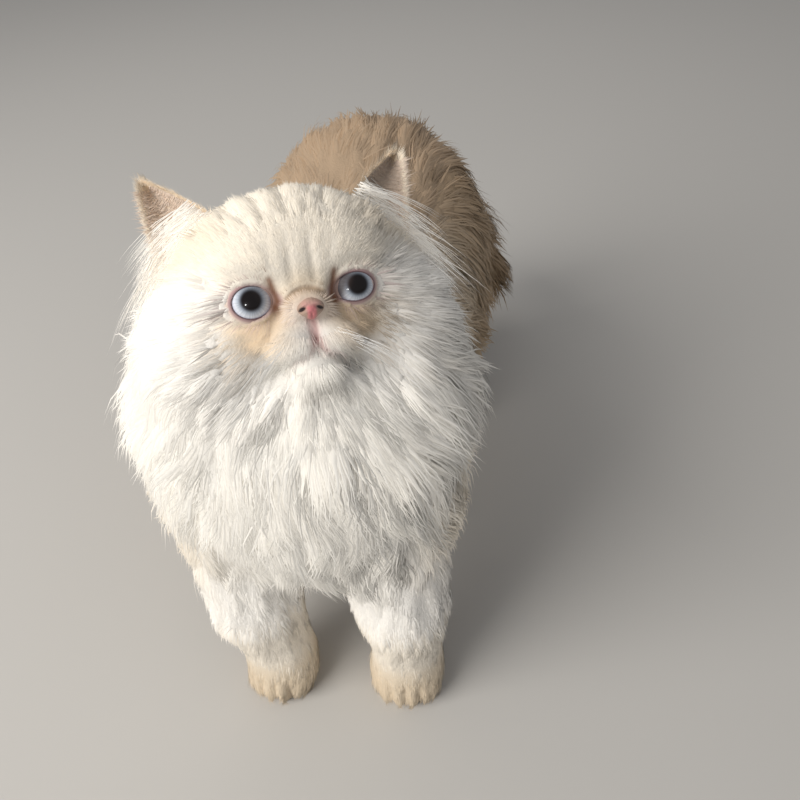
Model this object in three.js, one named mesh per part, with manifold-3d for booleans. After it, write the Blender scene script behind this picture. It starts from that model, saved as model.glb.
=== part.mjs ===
// A standing persian cat, life-size, as a still figure.
// Millimetres, +Z up. The cat faces -Y and +X is its own left side.
// Every solid runs out to the tips of the coat. The body is one smooth field of
// rounded forms, meshed in four finenesses and then parted with thin cuts.
import * as THREE from 'three';
import { mergeVertices } from 'three/addons/utils/BufferGeometryUtils.js';
import Module from 'manifold-3d';

const wasm = await Module();
wasm.setup();

// Driving dimensions. The toe tips of the forepaws are near y = 0, the floor is z = 0.
const GAP = 0.3;                    // clearance at every thin cut
const PAW_SPREAD = 39;              // forepaw centre to midline
const PAW_SHIFT = -3.5;             // of both forepaws, to the cat's right
const HIND_SPREAD = 48;             // hind paw centre to midline
const LEAN = -9;                    // the forequarters lean to the cat's right
const WITHERS_Y = 92;               // along the back, from the toe tips
const RUMP_Y = 266;
const TORSO_Z = 159;                // height of the barrel's axis
const BARREL_RADIUS = 74;
const RUMP_RADII = [75, 74, 92];
const CHEST_RADII = [78, 70, 82];
const RUFF_RADII = [86, 56, 52];

// The head's own frame: origin midway between the eyes, +X to the cat's left,
// -Y out of the face, +Z to the crown.
const HEAD_ORIGIN = [8, 36, 281];
const HEAD_TURN = 22;               // degrees, to the cat's left
const HEAD_LIFT = 28;               // degrees, nose up
const HEAD_TILT = 4;                // degrees, left ear down
const EYE_HALF_SPAN = 21.5;
const EYE_RADIUS = 11.4;
const EYE_DEPTH = 11;               // eyeball centre behind the eye plane
const NOSE_LEATHER = [5.6, 4.6, 4.8];
const NOSE_PLACE = [0.6, -5.4, -4.8];
const SKULL_RADII = [61, 52, 47];
const EAR_HEIGHT = 38;
const EAR_HALF_WIDTH = 17;
const EAR_THICKNESS = 4.2;
const EAR_CUP = 9;                  // depth of the hollow at the root
const EAR_PLACE = [40, 37, 23];     // root of the left ear
const EAR_TURN = 26;                // degrees, opening outwards
const EAR_SPLAY = 34;               // degrees, tip outwards

// How far two blended forms melt into each other.
const TORSO_BLEND = 24;
const BODY_BLEND = 22;
const NECK_BLEND = 16;
const LEG_BLEND = 14;
const SKULL_BLEND = 12;
const MUZZLE_BLEND = 5;
const FACE_BLEND = 9;

// Cell sizes of the four meshes, and the shortest edge that a cut may leave.
const BODY_CELL = 18;
const LEG_CELL = 10.8;
const TAIL_CELL = 12;
const HEAD_CELL = 6.8;
const SHORTEST_EDGE = 0.4;

// Coat colours by region.
const CREAM = 0xe9e2d6;
const WARM = 0xd9c9b0;
const TAN = 0xc2a888;
const EYE_BLUE = 0xb9c2d4;
const NOSE_PINK = 0xd48d8c;

const SIDES = [
  { name: 'left', sign: 1 },
  { name: 'right', sign: -1 },
];

const radians = THREE.MathUtils.degToRad;

// Fields: each is a function of a point that is negative inside the form.

function ellipsoid(center, radii) {
  const [cx, cy, cz] = center;
  const [rx, ry, rz] = radii;
  return (x, y, z) => {
    const a = (x - cx) / rx;
    const b = (y - cy) / ry;
    const c = (z - cz) / rz;
    const scaled = Math.hypot(a, b, c);
    const slope = Math.hypot(a / rx, b / ry, c / rz);
    return slope < 1e-9 ? -Math.min(rx, ry, rz) : (scaled * (scaled - 1)) / slope;
  };
}

function limb(start, end, startRadius, endRadius) {
  const [ax, ay, az] = start;
  const axis = [end[0] - ax, end[1] - ay, end[2] - az];
  const lengthSquared = axis[0] ** 2 + axis[1] ** 2 + axis[2] ** 2;
  return (x, y, z) => {
    const dot = (x - ax) * axis[0] + (y - ay) * axis[1] + (z - az) * axis[2];
    const t = Math.min(1, Math.max(0, dot / lengthSquared));
    const dx = x - ax - axis[0] * t;
    const dy = y - ay - axis[1] * t;
    const dz = z - az - axis[2] * t;
    return Math.hypot(dx, dy, dz) - startRadius - (endRadius - startRadius) * t;
  };
}

function chain(points, radii) {
  const fields = [];
  for (let i = 0; i + 1 < points.length; i += 1) {
    fields.push(limb(points[i], points[i + 1], radii[i], radii[i + 1]));
  }
  return blend(fields, 10);
}

function blend(fields, softness) {
  return (x, y, z) => {
    let value = fields[0](x, y, z);
    for (let i = 1; i < fields.length; i += 1) {
      const other = fields[i](x, y, z);
      const h = Math.max(softness - Math.abs(value - other), 0) / softness;
      value = Math.min(value, other) - (h * h * softness) / 4;
    }
    return value;
  };
}

function carve(base, cutter, softness) {
  return (x, y, z) => {
    const value = base(x, y, z);
    const other = -cutter(x, y, z);
    const h = Math.max(softness - Math.abs(value - other), 0) / softness;
    return Math.max(value, other) + (h * h * softness) / 4;
  };
}

function boxField(low, high) {
  return (x, y, z) => Math.max(
    low[0] - x, x - high[0], low[1] - y, y - high[1], low[2] - z, z - high[2],
  );
}

// Frames.

function frame(origin, turn, lift, tilt) {
  const rotation = new THREE.Euler(-radians(lift), radians(tilt), radians(turn), 'ZXY');
  const matrix = new THREE.Matrix4().makeRotationFromEuler(rotation);
  return matrix.setPosition(...origin);
}

function inFrame(matrix, field) {
  const e = matrix.clone().invert().elements;
  return (x, y, z) => field(
    e[0] * x + e[4] * y + e[8] * z + e[12],
    e[1] * x + e[5] * y + e[9] * z + e[13],
    e[2] * x + e[6] * y + e[10] * z + e[14],
  );
}

const headFrame = frame(HEAD_ORIGIN, HEAD_TURN, HEAD_LIFT, HEAD_TILT);

// Closed mesh of a field's zero surface: one vertex in each grid cell that the surface
// crosses, at the mean of its edge crossings and then moved along the field's slope.

function meshField(field, low, high, cell) {
  const count = low.map((value, k) => Math.ceil((high[k] - value) / cell) + 1);
  const [nx, ny, nz] = count;
  const at = (i, j, k) => (k * ny + j) * nx + i;
  const values = new Float32Array(nx * ny * nz);
  for (let k = 0; k < nz; k += 1) {
    for (let j = 0; j < ny; j += 1) {
      for (let i = 0; i < nx; i += 1) {
        const value = field(low[0] + i * cell, low[1] + j * cell, low[2] + k * cell);
        values[at(i, j, k)] = Math.abs(value) < 1e-4 ? 1e-4 : value;
      }
    }
  }
  const corners = [];
  for (let c = 0; c < 8; c += 1) corners.push([c & 1, (c >> 1) & 1, (c >> 2) & 1]);
  const edges = [];
  for (let a = 0; a < 8; a += 1) {
    for (const bit of [1, 2, 4]) {
      if (!(a & bit)) edges.push([a, a | bit]);
    }
  }
  const vertexOf = new Int32Array(nx * ny * nz).fill(-1);
  const points = [];
  for (let k = 0; k + 1 < nz; k += 1) {
    for (let j = 0; j + 1 < ny; j += 1) {
      for (let i = 0; i + 1 < nx; i += 1) {
        const sum = [0, 0, 0];
        let crossings = 0;
        for (const [a, b] of edges) {
          const ca = corners[a];
          const cb = corners[b];
          const va = values[at(i + ca[0], j + ca[1], k + ca[2])];
          const vb = values[at(i + cb[0], j + cb[1], k + cb[2])];
          if (va < 0 === vb < 0) continue;
          const t = va / (va - vb);
          for (let n = 0; n < 3; n += 1) sum[n] += ca[n] + (cb[n] - ca[n]) * t;
          crossings += 1;
        }
        if (crossings === 0) continue;
        vertexOf[at(i, j, k)] = points.length / 3;
        points.push(...settle(field, [
          low[0] + (i + sum[0] / crossings) * cell,
          low[1] + (j + sum[1] / crossings) * cell,
          low[2] + (k + sum[2] / crossings) * cell,
        ], cell));
      }
    }
  }
  const index = [];
  const steps = [[1, 0, 0], [0, 1, 0], [0, 0, 1]];
  for (let k = 1; k + 1 < nz; k += 1) {
    for (let j = 1; j + 1 < ny; j += 1) {
      for (let i = 1; i + 1 < nx; i += 1) {
        for (let n = 0; n < 3; n += 1) {
          const [di, dj, dk] = steps[n];
          const inside = values[at(i, j, k)] < 0;
          if (inside === values[at(i + di, j + dj, k + dk)] < 0) continue;
          const [pi, pj, pk] = steps[(n + 1) % 3];
          const [qi, qj, qk] = steps[(n + 2) % 3];
          const quad = [
            vertexOf[at(i, j, k)],
            vertexOf[at(i - pi, j - pj, k - pk)],
            vertexOf[at(i - pi - qi, j - pj - qj, k - pk - qk)],
            vertexOf[at(i - qi, j - qj, k - qk)],
          ];
          if (!inside) quad.reverse();
          index.push(...splitQuad(points, quad));
        }
      }
    }
  }
  const geometry = new THREE.BufferGeometry();
  geometry.setAttribute('position', new THREE.Float32BufferAttribute(points, 3));
  geometry.setIndex(index);
  return geometry;
}

function settle(field, point, cell) {
  const step = cell * 0.02;
  const start = [...point];
  for (let pass = 0; pass < 3; pass += 1) {
    const value = field(...point);
    const slope = [0, 1, 2].map((n) => {
      const ahead = [...point];
      ahead[n] += step;
      return (field(...ahead) - value) / step;
    });
    const steepness = slope[0] ** 2 + slope[1] ** 2 + slope[2] ** 2;
    if (steepness < 1e-4) break;
    for (let n = 0; n < 3; n += 1) {
      const moved = point[n] - (value * slope[n]) / steepness;
      point[n] = Math.min(start[n] + cell * 0.3, Math.max(start[n] - cell * 0.3, moved));
    }
  }
  return point;
}

function splitQuad(points, [a, b, c, d]) {
  const span = (p, q) => Math.hypot(
    points[p * 3] - points[q * 3],
    points[p * 3 + 1] - points[q * 3 + 1],
    points[p * 3 + 2] - points[q * 3 + 2],
  );
  return span(a, c) < span(b, d) ? [a, b, c, a, c, d] : [b, c, d, b, d, a];
}

// Closed solids for cutting, and back to meshes.

function solidOf(geometry, matrix = null) {
  const bare = geometry.clone();
  bare.deleteAttribute('normal');
  bare.deleteAttribute('uv');
  if (matrix) bare.applyMatrix4(matrix);
  const merged = mergeVertices(bare, 1e-4);
  return new wasm.Manifold(new wasm.Mesh({
    numProp: 3,
    vertProperties: new Float32Array(merged.attributes.position.array),
    triVerts: new Uint32Array(merged.index.array),
  }));
}

function boxSolid(low, high, matrix = null) {
  const size = low.map((value, k) => high[k] - value);
  const geometry = new THREE.BoxGeometry(...size);
  geometry.translate(...low.map((value, k) => (value + high[k]) / 2));
  return solidOf(geometry, matrix);
}

function geometryOf(solid) {
  const mesh = solid.getMesh();
  const geometry = new THREE.BufferGeometry();
  geometry.setAttribute('position', new THREE.BufferAttribute(mesh.vertProperties, 3));
  geometry.setIndex(new THREE.BufferAttribute(mesh.triVerts, 1));
  return geometry;
}

// Torso, neck and ruff.

const torso = blend([
  limb([LEAN, WITHERS_Y, TORSO_Z], [3, RUMP_Y, TORSO_Z + 10], BARREL_RADIUS, BARREL_RADIUS),
  ellipsoid([LEAN, WITHERS_Y - 14, TORSO_Z + 4], CHEST_RADII),
  ellipsoid([3, RUMP_Y, TORSO_Z + 4], RUMP_RADII),
  ellipsoid([LEAN, WITHERS_Y + 14, TORSO_Z + 50], [54, 48, 44]),
  limb([LEAN, WITHERS_Y + 20, 122], [3, RUMP_Y - 30, 124], 45, 46),
], TORSO_BLEND);

const bib = blend([
  ellipsoid([LEAN + 1, 40, 168], [60, 35, 56]),
  ellipsoid([LEAN + 1, 47, 132], [42, 30, 35]),
], 20);

const ruff = blend([
  inFrame(frame([-7, 66, 206], 4, -14, 3), ellipsoid([0, 0, 0], RUFF_RADII)),
  ellipsoid([-52, 62, 192], [46, 46, 58]),
], 18);

// Legs. The forelegs stand straight, the hind legs bend at knee and hock.

function foreleg(sign) {
  const lean = sign < 0 ? -19 : -2;
  const foot = sign * PAW_SPREAD + PAW_SHIFT;
  return blend([
    limb([foot + lean, 56, 150], [foot + lean * 0.6, 36, 64], 36, 27),
    limb([foot + lean * 0.6, 36, 64], [foot, 28, 26], 27, 22),
    forepaw(foot),
  ], LEG_BLEND);
}

function toes(x, y, spread) {
  const knobs = [];
  for (const place of [-1.5, -0.5, 0.5, 1.5]) {
    const back = 1.6 * place * place;
    knobs.push(ellipsoid([x + place * spread, y + back, 8], [6.8, 11, 8.6]));
  }
  return blend(knobs, 4);
}

function forepaw(x) {
  return blend([
    ellipsoid([x, 24, 12], [22.5, 21, 18]),
    toes(x, 9, 9.6),
  ], 9);
}

function hindleg(sign) {
  const x = sign * HIND_SPREAD;
  return blend([
    ellipsoid([x * 0.92 + 2, RUMP_Y - 4, 120], [36, 60, 62]),
    limb([x, RUMP_Y - 20, 90], [x, RUMP_Y + 34, 60], 30, 25),
    limb([x, RUMP_Y + 34, 60], [x, RUMP_Y + 20, 22], 24, 20),
    ellipsoid([x, RUMP_Y + 6, 12], [20, 25, 17]),
    toes(x, RUMP_Y - 11, 8.6),
  ], LEG_BLEND);
}

const legs = SIDES.flatMap(({ sign }) => [foreleg(sign), hindleg(sign)]);

// Tail: short and bushy, carried low and swung to the cat's left.

const TAIL_POINTS = [
  [3, RUMP_Y + 52, 196],
  [8, RUMP_Y + 94, 172],
  [24, RUMP_Y + 122, 136],
  [48, RUMP_Y + 138, 98],
  [74, RUMP_Y + 138, 66],
];
const TAIL_RADII = [27, 30, 34, 33, 23];
const TAIL_SPLIT_Z = 118;           // height of the cut between its two lengths
const tail = chain(TAIL_POINTS, TAIL_RADII);

// Head: round skull, full cheeks, short muzzle with pads and chin, brow ridges.

const eyePlace = (sign) => [sign * EYE_HALF_SPAN, EYE_DEPTH, 0];

const skull = blend([
  ellipsoid([0, 50, -1], SKULL_RADII),
  ellipsoid([0, 24, 20], [38, 26, 24]),
  ...SIDES.map(({ sign }) => ellipsoid([sign * 37, 42, -18], [37, 36, 33])),
  ...SIDES.map(({ sign }) => ellipsoid([sign * 20, 18, 15], [18, 17, 13])),
], SKULL_BLEND);

const muzzle = blend([
  ellipsoid([0, 8, -4], [13, 15, 9]),
  ...SIDES.map(({ sign }) => ellipsoid([sign * 9, 5, -17], [13, 12, 10])),
  ellipsoid([0, 8, -31], [14, 12, 10]),
], MUZZLE_BLEND);

const eyeHollows = blend(SIDES.map(({ sign }) => (
  ellipsoid([sign * 22, -1, 0], [11.5, 5.4, 8.5]))), 2);

const headShape = carve(blend([skull, muzzle], FACE_BLEND), eyeHollows, MUZZLE_BLEND + 1);

const head = inFrame(headFrame, headShape);

const body = blend([torso, bib, ruff, ...legs, tail], BODY_BLEND);
const whole = blend([body, head], NECK_BLEND);

// Ears: cupped triangular blades with rounded tips, wide and low on the skull. Across
// goes from -1 to 1 over the width, and up from 0 at the root to 1 at the tip.

function earGeometry(sign) {
  const across = 8;
  const up = 7;
  const positions = [];
  for (const layer of [0, 1]) {
    for (let j = 0; j <= up; j += 1) {
      for (let i = 0; i <= across; i += 1) {
        const s = (i / across) * 2 - 1;
        const t = j / up;
        const half = EAR_HALF_WIDTH * Math.sqrt(1 - t ** 2.1) * (1 - 0.35 * t) + 0.9;
        const cup = EAR_CUP * (1 - s * s) * (1 - 0.55 * t);
        const wall = EAR_THICKNESS * (1 - 0.5 * t) * (1.02 - s * s * 0.75);
        positions.push(s * half, cup + layer * wall, t * EAR_HEIGHT);
      }
    }
  }
  const row = across + 1;
  const back = row * (up + 1);
  const index = [];
  const face = (a, b, c, d) => index.push(a, b, c, a, c, d);
  for (let j = 0; j < up; j += 1) {
    for (let i = 0; i < across; i += 1) {
      const a = j * row + i;
      face(a, a + 1, a + row + 1, a + row);
      face(back + a + 1, back + a, back + a + row, back + a + row + 1);
    }
    const first = j * row;
    const last = first + across;
    face(first, first + row, back + first + row, back + first);
    face(last + row, last, back + last, back + last + row);
  }
  for (let i = 0; i < across; i += 1) {
    const top = up * row + i;
    face(i + 1, i, back + i, back + i + 1);
    face(top, top + 1, back + top + 1, back + top);
  }
  const geometry = new THREE.BufferGeometry();
  geometry.setAttribute('position', new THREE.Float32BufferAttribute(positions, 3));
  geometry.setIndex(index);
  const place = new THREE.Matrix4().makeRotationFromEuler(
    new THREE.Euler(radians(-4), radians(sign * EAR_SPLAY), radians(sign * EAR_TURN), 'ZXY'),
  );
  place.setPosition(sign * EAR_PLACE[0], EAR_PLACE[1], EAR_PLACE[2]);
  return geometry.applyMatrix4(place).applyMatrix4(headFrame);
}

// Meshes of the four finenesses. The finer ones are closed at their zone's walls,
// which lie outside every cut that uses them.

const FAR = 400;
const MARGIN = 12;
const LEG_TOP = 68;                 // the legs part from the trunk at this height
const PAW_TOP = 32;                 // and the paws from the legs here
const HEAD_CUT_DROP = 43;           // of the cut below the head, under the eyes
const HEAD_BACK = 112;              // how far back from the eyes the head's cut runs
const NECK_FLOOR = 190;             // height of the neck's lower cut, at y = NECK_FRONT
const NECK_FRONT = 70;
const NECK_LENGTH = 76;
const CHEST_BACK = WITHERS_Y + 24;
const RUMP_FRONT = RUMP_Y - 48;
const TAIL_FRONT = RUMP_Y + 78;
const BODY_ZONE = [[-125, -25, -20], [125, RUMP_Y + 190, 345]];
const HEAD_ZONE = [[-105, -15, 215], [105, 165, 345]];
const TAIL_ZONE = [[-60, RUMP_Y + 60, 20], [125, RUMP_Y + 190, 240]];
const LEG_ZONE = [[-115, -20, -14], [115, RUMP_Y + 95, LEG_TOP + 10]];

function zoneSolid([low, high], cell, swell = 0) {
  const bound = boxField(low, high);
  const field = (x, y, z) => Math.max(whole(x, y, z) - swell, bound(x, y, z));
  const lowEnd = low.map((value) => value - MARGIN);
  const highEnd = high.map((value) => value + MARGIN);
  return solidOf(meshField(field, lowEnd, highEnd, cell));
}

// Thin cuts: each cutter is a box, drawn in or swollen by half the gap.

const headCut = (gap) => boxSolid(
  [-FAR, -FAR, -gap],
  [FAR, HEAD_BACK + gap, FAR],
  new THREE.Matrix4()
    .makeTranslation(HEAD_ORIGIN[0], HEAD_ORIGIN[1], HEAD_ORIGIN[2] - HEAD_CUT_DROP)
    .multiply(new THREE.Matrix4().makeRotationX(radians(4))),
);
const neckCut = (gap) => boxSolid(
  [-FAR, -FAR, -gap],
  [FAR, NECK_LENGTH + gap, FAR],
  new THREE.Matrix4().makeTranslation(0, NECK_FRONT, NECK_FLOOR)
    .multiply(new THREE.Matrix4().makeRotationX(radians(20))),
);
const chestCut = (gap) => boxSolid([-FAR, -FAR, -FAR], [FAR, CHEST_BACK + gap, FAR]);
const rumpCut = (gap) => boxSolid([-FAR, RUMP_FRONT - gap, -FAR], [FAR, FAR * 2, FAR]);
const tailCut = (gap) => boxSolid([-FAR, TAIL_FRONT - gap, -FAR], [FAR, FAR * 2, FAR]);
const tailTipCut = (gap) => boxSolid([-FAR, RUMP_Y, -FAR], [FAR, FAR * 2, TAIL_SPLIT_Z + gap]);

function legCut(sign, yLow, yHigh, zLow, zHigh, gap) {
  const middle = yLow < WITHERS_Y ? -5 : 2;
  const xLow = sign > 0 ? middle + GAP / 2 - gap : -FAR;
  const xHigh = sign > 0 ? FAR : middle - GAP / 2 + gap;
  return boxSolid([xLow, yLow - gap, zLow - gap], [xHigh, yHigh + gap, zHigh + gap]);
}

const floorBox = boxSolid([-FAR, -FAR, 0], [FAR, FAR * 2, FAR]);
const bodyStock = zoneSolid(BODY_ZONE, BODY_CELL).intersect(floorBox);
const legStock = zoneSolid(LEG_ZONE, LEG_CELL).intersect(floorBox);
const tailStock = zoneSolid(TAIL_ZONE, TAIL_CELL).intersect(tailCut(-GAP / 2));
const headStock = zoneSolid(HEAD_ZONE, HEAD_CELL);

const nodes = [];

function addNode(name, solid, color, roughness = 0.9) {
  const geometry = mainShell(withoutSlivers(geometryOf(solid)));
  nodes.push({ name, geometry, color, roughness });
}

// Groups of vertices: every pair of the list is joined, and find gives a group's name.

function groupsOf(count, pairs) {
  const root = Array.from({ length: count }, (_, i) => i);
  const find = (i) => {
    let at = i;
    while (root[at] !== at) {
      root[at] = root[root[at]];
      at = root[at];
    }
    return at;
  };
  for (const [a, b] of pairs) root[find(a)] = find(b);
  return find;
}

// A mesh without the very short edges that a cut leaves: their ends become one vertex,
// and faces that fold flat on each other go.

function withoutSlivers(geometry) {
  const position = geometry.attributes.position;
  const index = geometry.index.array;
  const corner = (i) => new THREE.Vector3().fromBufferAttribute(position, i);
  const short = [];
  for (let i = 0; i < index.length; i += 3) {
    for (const [a, b] of [[0, 1], [1, 2], [2, 0]]) {
      const pair = [index[i + a], index[i + b]];
      if (corner(pair[0]).distanceTo(corner(pair[1])) < SHORTEST_EDGE) short.push(pair);
    }
  }
  const find = groupsOf(position.count, short);
  const faces = new Map();
  for (let i = 0; i < index.length; i += 3) {
    const face = [find(index[i]), find(index[i + 1]), find(index[i + 2])];
    if (new Set(face).size < 3) continue;
    const key = [...face].sort((p, q) => p - q).join();
    if (faces.has(key)) faces.delete(key);
    else faces.set(key, face);
  }
  geometry.setIndex([...faces.values()].flat());
  return geometry;
}

// The largest connected shell of a mesh.

function mainShell(geometry) {
  const index = geometry.index.array;
  const pairs = [];
  for (let i = 0; i < index.length; i += 3) {
    pairs.push([index[i], index[i + 1]], [index[i + 1], index[i + 2]]);
  }
  const find = groupsOf(geometry.attributes.position.count, pairs);
  const shells = new Map();
  for (let i = 0; i < index.length; i += 3) {
    const key = find(index[i]);
    if (!shells.has(key)) shells.set(key, []);
    shells.get(key).push(index[i], index[i + 1], index[i + 2]);
  }
  const main = [...shells.values()].reduce((best, shell) => (
    shell.length > best.length ? shell : best));
  geometry.setIndex(main);
  return geometry;
}

// Legs: every leg has an upper length and a paw, which stands on a flat sole.

let torsoStock = bodyStock;
for (const { name, sign } of SIDES) {
  const lengths = [
    { part: 'foreleg', y: [-60, 72], z: [PAW_TOP, LEG_TOP], color: CREAM },
    { part: 'forepaw', y: [-60, 72], z: [-50, PAW_TOP], color: WARM },
    { part: 'hindleg', y: [RUMP_Y - 66, FAR], z: [PAW_TOP, LEG_TOP], color: CREAM },
    { part: 'hindpaw', y: [RUMP_Y - 66, FAR], z: [-50, PAW_TOP], color: WARM },
  ];
  for (const { part, y, z, color } of lengths) {
    addNode(`${part}_${name}`, legStock.intersect(legCut(sign, ...y, ...z, -GAP / 2)), color);
    torsoStock = torsoStock.subtract(legCut(sign, ...y, ...z, GAP / 2));
  }
}

// Tail in two lengths.

addNode('tail_tip', tailStock.intersect(tailTipCut(-GAP / 2)), TAN);
addNode('tail_root', tailStock.subtract(tailTipCut(GAP / 2)), TAN);
torsoStock = torsoStock.subtract(tailCut(GAP / 2));

// Neck, chest, trunk and rump.

torsoStock = torsoStock.subtract(headCut(GAP / 2));
addNode('neck', torsoStock.intersect(neckCut(-GAP / 2)), CREAM);
torsoStock = torsoStock.subtract(neckCut(GAP / 2));
addNode('chest', torsoStock.intersect(chestCut(-GAP / 2)), CREAM);
addNode('rump', torsoStock.intersect(rumpCut(-GAP / 2)), WARM);
addNode('trunk', torsoStock.subtract(chestCut(GAP / 2)).subtract(rumpCut(GAP / 2)), CREAM);

// Head, with sockets for the eyes and a bed for the nose leather, and the ears on it.

function ball(center, radii, detail) {
  const geometry = new THREE.SphereGeometry(1, detail, Math.round(detail * 0.7));
  geometry.scale(...radii);
  geometry.translate(...center);
  return solidOf(geometry, headFrame);
}

const grown = (radii, by) => radii.map((radius) => radius + by);
const eyeRadii = [EYE_RADIUS, EYE_RADIUS, EYE_RADIUS];
let headSolid = headStock.intersect(headCut(-GAP / 2));
const headGrown = zoneSolid(HEAD_ZONE, HEAD_CELL, GAP * 1.5);
for (const { name, sign } of SIDES) {
  addNode(`ear_${name}`, solidOf(earGeometry(sign)).subtract(headGrown), WARM);
  addNode(`eye_${name}`, ball(eyePlace(sign), eyeRadii, 12), EYE_BLUE, 0.1);
  headSolid = headSolid.subtract(ball(eyePlace(sign), grown(eyeRadii, GAP), 12));
}
headSolid = headSolid.subtract(ball(NOSE_PLACE, grown(NOSE_LEATHER, GAP), 12));
addNode('nose', ball(NOSE_PLACE, NOSE_LEATHER, 12), NOSE_PINK, 0.5);
addNode('head', headSolid, CREAM);

// The whole figure, with its origin on the floor below the middle of its outline.

const cat = new THREE.Group();
const bounds = new THREE.Box3();
for (const { name, geometry, color, roughness } of nodes) {
  const material = new THREE.MeshStandardMaterial({ color, roughness, metalness: 0 });
  const mesh = new THREE.Mesh(geometry, material);
  mesh.name = name;
  cat.add(mesh);
  geometry.computeBoundingBox();
  bounds.union(geometry.boundingBox);
}
const middle = bounds.getCenter(new THREE.Vector3());
cat.position.set(-middle.x, -middle.y, -bounds.min.z);

export default cat;
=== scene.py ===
"""Looks of a life-size standing persian cat.

One skin closes the thin cuts of the solids and lies inside them by the coat's depth. Over it
lies a coat of many thin solid locks, with lids, eyes, nose leather and whiskers as pieces of
their own. Lengths are in millimetres here, and become metres where a mesh is made.
"""

import logging
import math
from dataclasses import dataclass, field
from enum import Enum

import bmesh
import bpy
import numpy as np
from mathutils import Matrix, Vector


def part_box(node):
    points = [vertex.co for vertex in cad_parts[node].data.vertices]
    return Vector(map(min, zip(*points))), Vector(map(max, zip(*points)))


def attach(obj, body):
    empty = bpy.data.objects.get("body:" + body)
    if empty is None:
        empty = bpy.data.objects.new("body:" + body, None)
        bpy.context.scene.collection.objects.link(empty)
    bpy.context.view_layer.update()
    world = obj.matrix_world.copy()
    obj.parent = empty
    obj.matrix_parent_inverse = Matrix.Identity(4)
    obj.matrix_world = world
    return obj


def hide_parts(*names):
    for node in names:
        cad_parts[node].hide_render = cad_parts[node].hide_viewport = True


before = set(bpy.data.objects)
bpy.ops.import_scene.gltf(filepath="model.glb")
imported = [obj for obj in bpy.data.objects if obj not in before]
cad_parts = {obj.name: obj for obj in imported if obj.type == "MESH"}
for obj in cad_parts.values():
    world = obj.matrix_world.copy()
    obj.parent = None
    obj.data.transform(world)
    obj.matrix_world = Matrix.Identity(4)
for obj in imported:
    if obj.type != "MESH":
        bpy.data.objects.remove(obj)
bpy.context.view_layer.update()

MM = 0.001
SEED = 20
COLOUR = "Coat"
BAKE_MAP = "OFBake"
TRIANGLE_LIMIT = 198000
SIDES = {"left": 1.0, "right": -1.0}
FLESH = (
    "head", "neck", "chest", "trunk", "rump", "tail_root", "tail_tip",
    "foreleg_left", "foreleg_right", "forepaw_left", "forepaw_right",
    "hindleg_left", "hindleg_right", "hindpaw_left", "hindpaw_right",
)
TINY = 1e-9
DOUBLES = 1e-6
ROOM_SHARE = 1.06
ROOM_EXTRA = 6.0
DOWN = np.array([0.0, 0.0, -1.0])
Triple = tuple[float, float, float]
Ball = tuple[Triple, Triple]
Array = np.ndarray
log = logging.getLogger("persian_cat")


def srgb(red: float, green: float, blue: float) -> Triple:
    """Linear colour of a display colour.

    Args:
        red: display red, in steps from 0 to 255.
        green: display green, likewise.
        blue: display blue, likewise.

    Returns:
        Red, green and blue as amounts of light, from 0 to 1.
    """
    steps = np.array([red, green, blue]) / 255.0
    linear = np.where(steps <= 0.04045, steps / 12.92, ((steps + 0.055) / 1.055) ** 2.4)
    return tuple(float(value) for value in linear)


def unit(vectors: Array) -> Array:
    """The vectors at length one."""
    return vectors / np.maximum(np.linalg.norm(vectors, axis=-1, keepdims=True), TINY)


def dot(first: Array, second: Array) -> Array:
    """Row by row product of two arrays of vectors, kept as a column."""
    return np.sum(first * second, axis=-1, keepdims=True)


def ramp(low: float, high: float, value: Array) -> Array:
    """0 below low and 1 above high, with a smooth rise 3s^2 - 2s^3 between."""
    share = np.clip((value - low) / (high - low), 0.0, 1.0)
    return share * share * (3.0 - 2.0 * share)


def bell(value: Array, width: float) -> Array:
    """1 at zero, falling off as exp(-(value / width)^2)."""
    return np.exp(-((value / width) ** 2))


def box_mm(node: str) -> tuple[Array, Array]:
    """Lowest and highest corner of a node's box, in millimetres."""
    low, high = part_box(node)
    return np.array(low) / MM, np.array(high) / MM


def room() -> tuple[Array, Array]:
    """The space that the coat's tips keep to, a little past the solids.

    Returns:
        Its middle and its half size, in millimetres.
    """
    lows, highs = zip(*(box_mm(name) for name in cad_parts))
    low, high = np.min(lows, axis=0), np.max(highs, axis=0)
    return (low + high) / 2, (high - low) / 2 * ROOM_SHARE + ROOM_EXTRA


ROOM_MIDDLE, ROOM_HALF = room()


def ellipsoid(points: Array, centre: Triple, radii: Triple) -> Array:
    """Signed distance to an ellipsoid, close to true near its surface: k (k - 1) / s.

    Args:
        points: places, one a row.
        centre: the ellipsoid's middle.
        radii: its half axes; k is the scaled distance and s its slope.

    Returns:
        One value a row, negative inside.
    """
    scaled = (points - np.array(centre)) / np.array(radii)
    reach = np.linalg.norm(scaled, axis=-1)
    slope = np.maximum(np.linalg.norm(scaled / np.array(radii), axis=-1), TINY)
    return reach * (reach - 1.0) / slope


def blend(values: list[Array], softness: float) -> Array:
    """Smooth union: the lowest value, less h^2 softness / 4, where h is how near two values are.

    Args:
        values: signed distances to the forms.
        softness: how far apart two values may be and still melt together.

    Returns:
        The signed distance to the forms as one.
    """
    total = values[0]
    for other in values[1:]:
        near = np.maximum(softness - np.abs(total - other), 0.0) / softness
        total = np.minimum(total, other) - near * near * softness / 4.0
    return total


def carve(base: Array, cutter: Array, softness: float) -> Array:
    """Smooth cut: the higher of base and minus cutter, rounded over softness."""
    return -blend([-base, cutter], softness)


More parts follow.
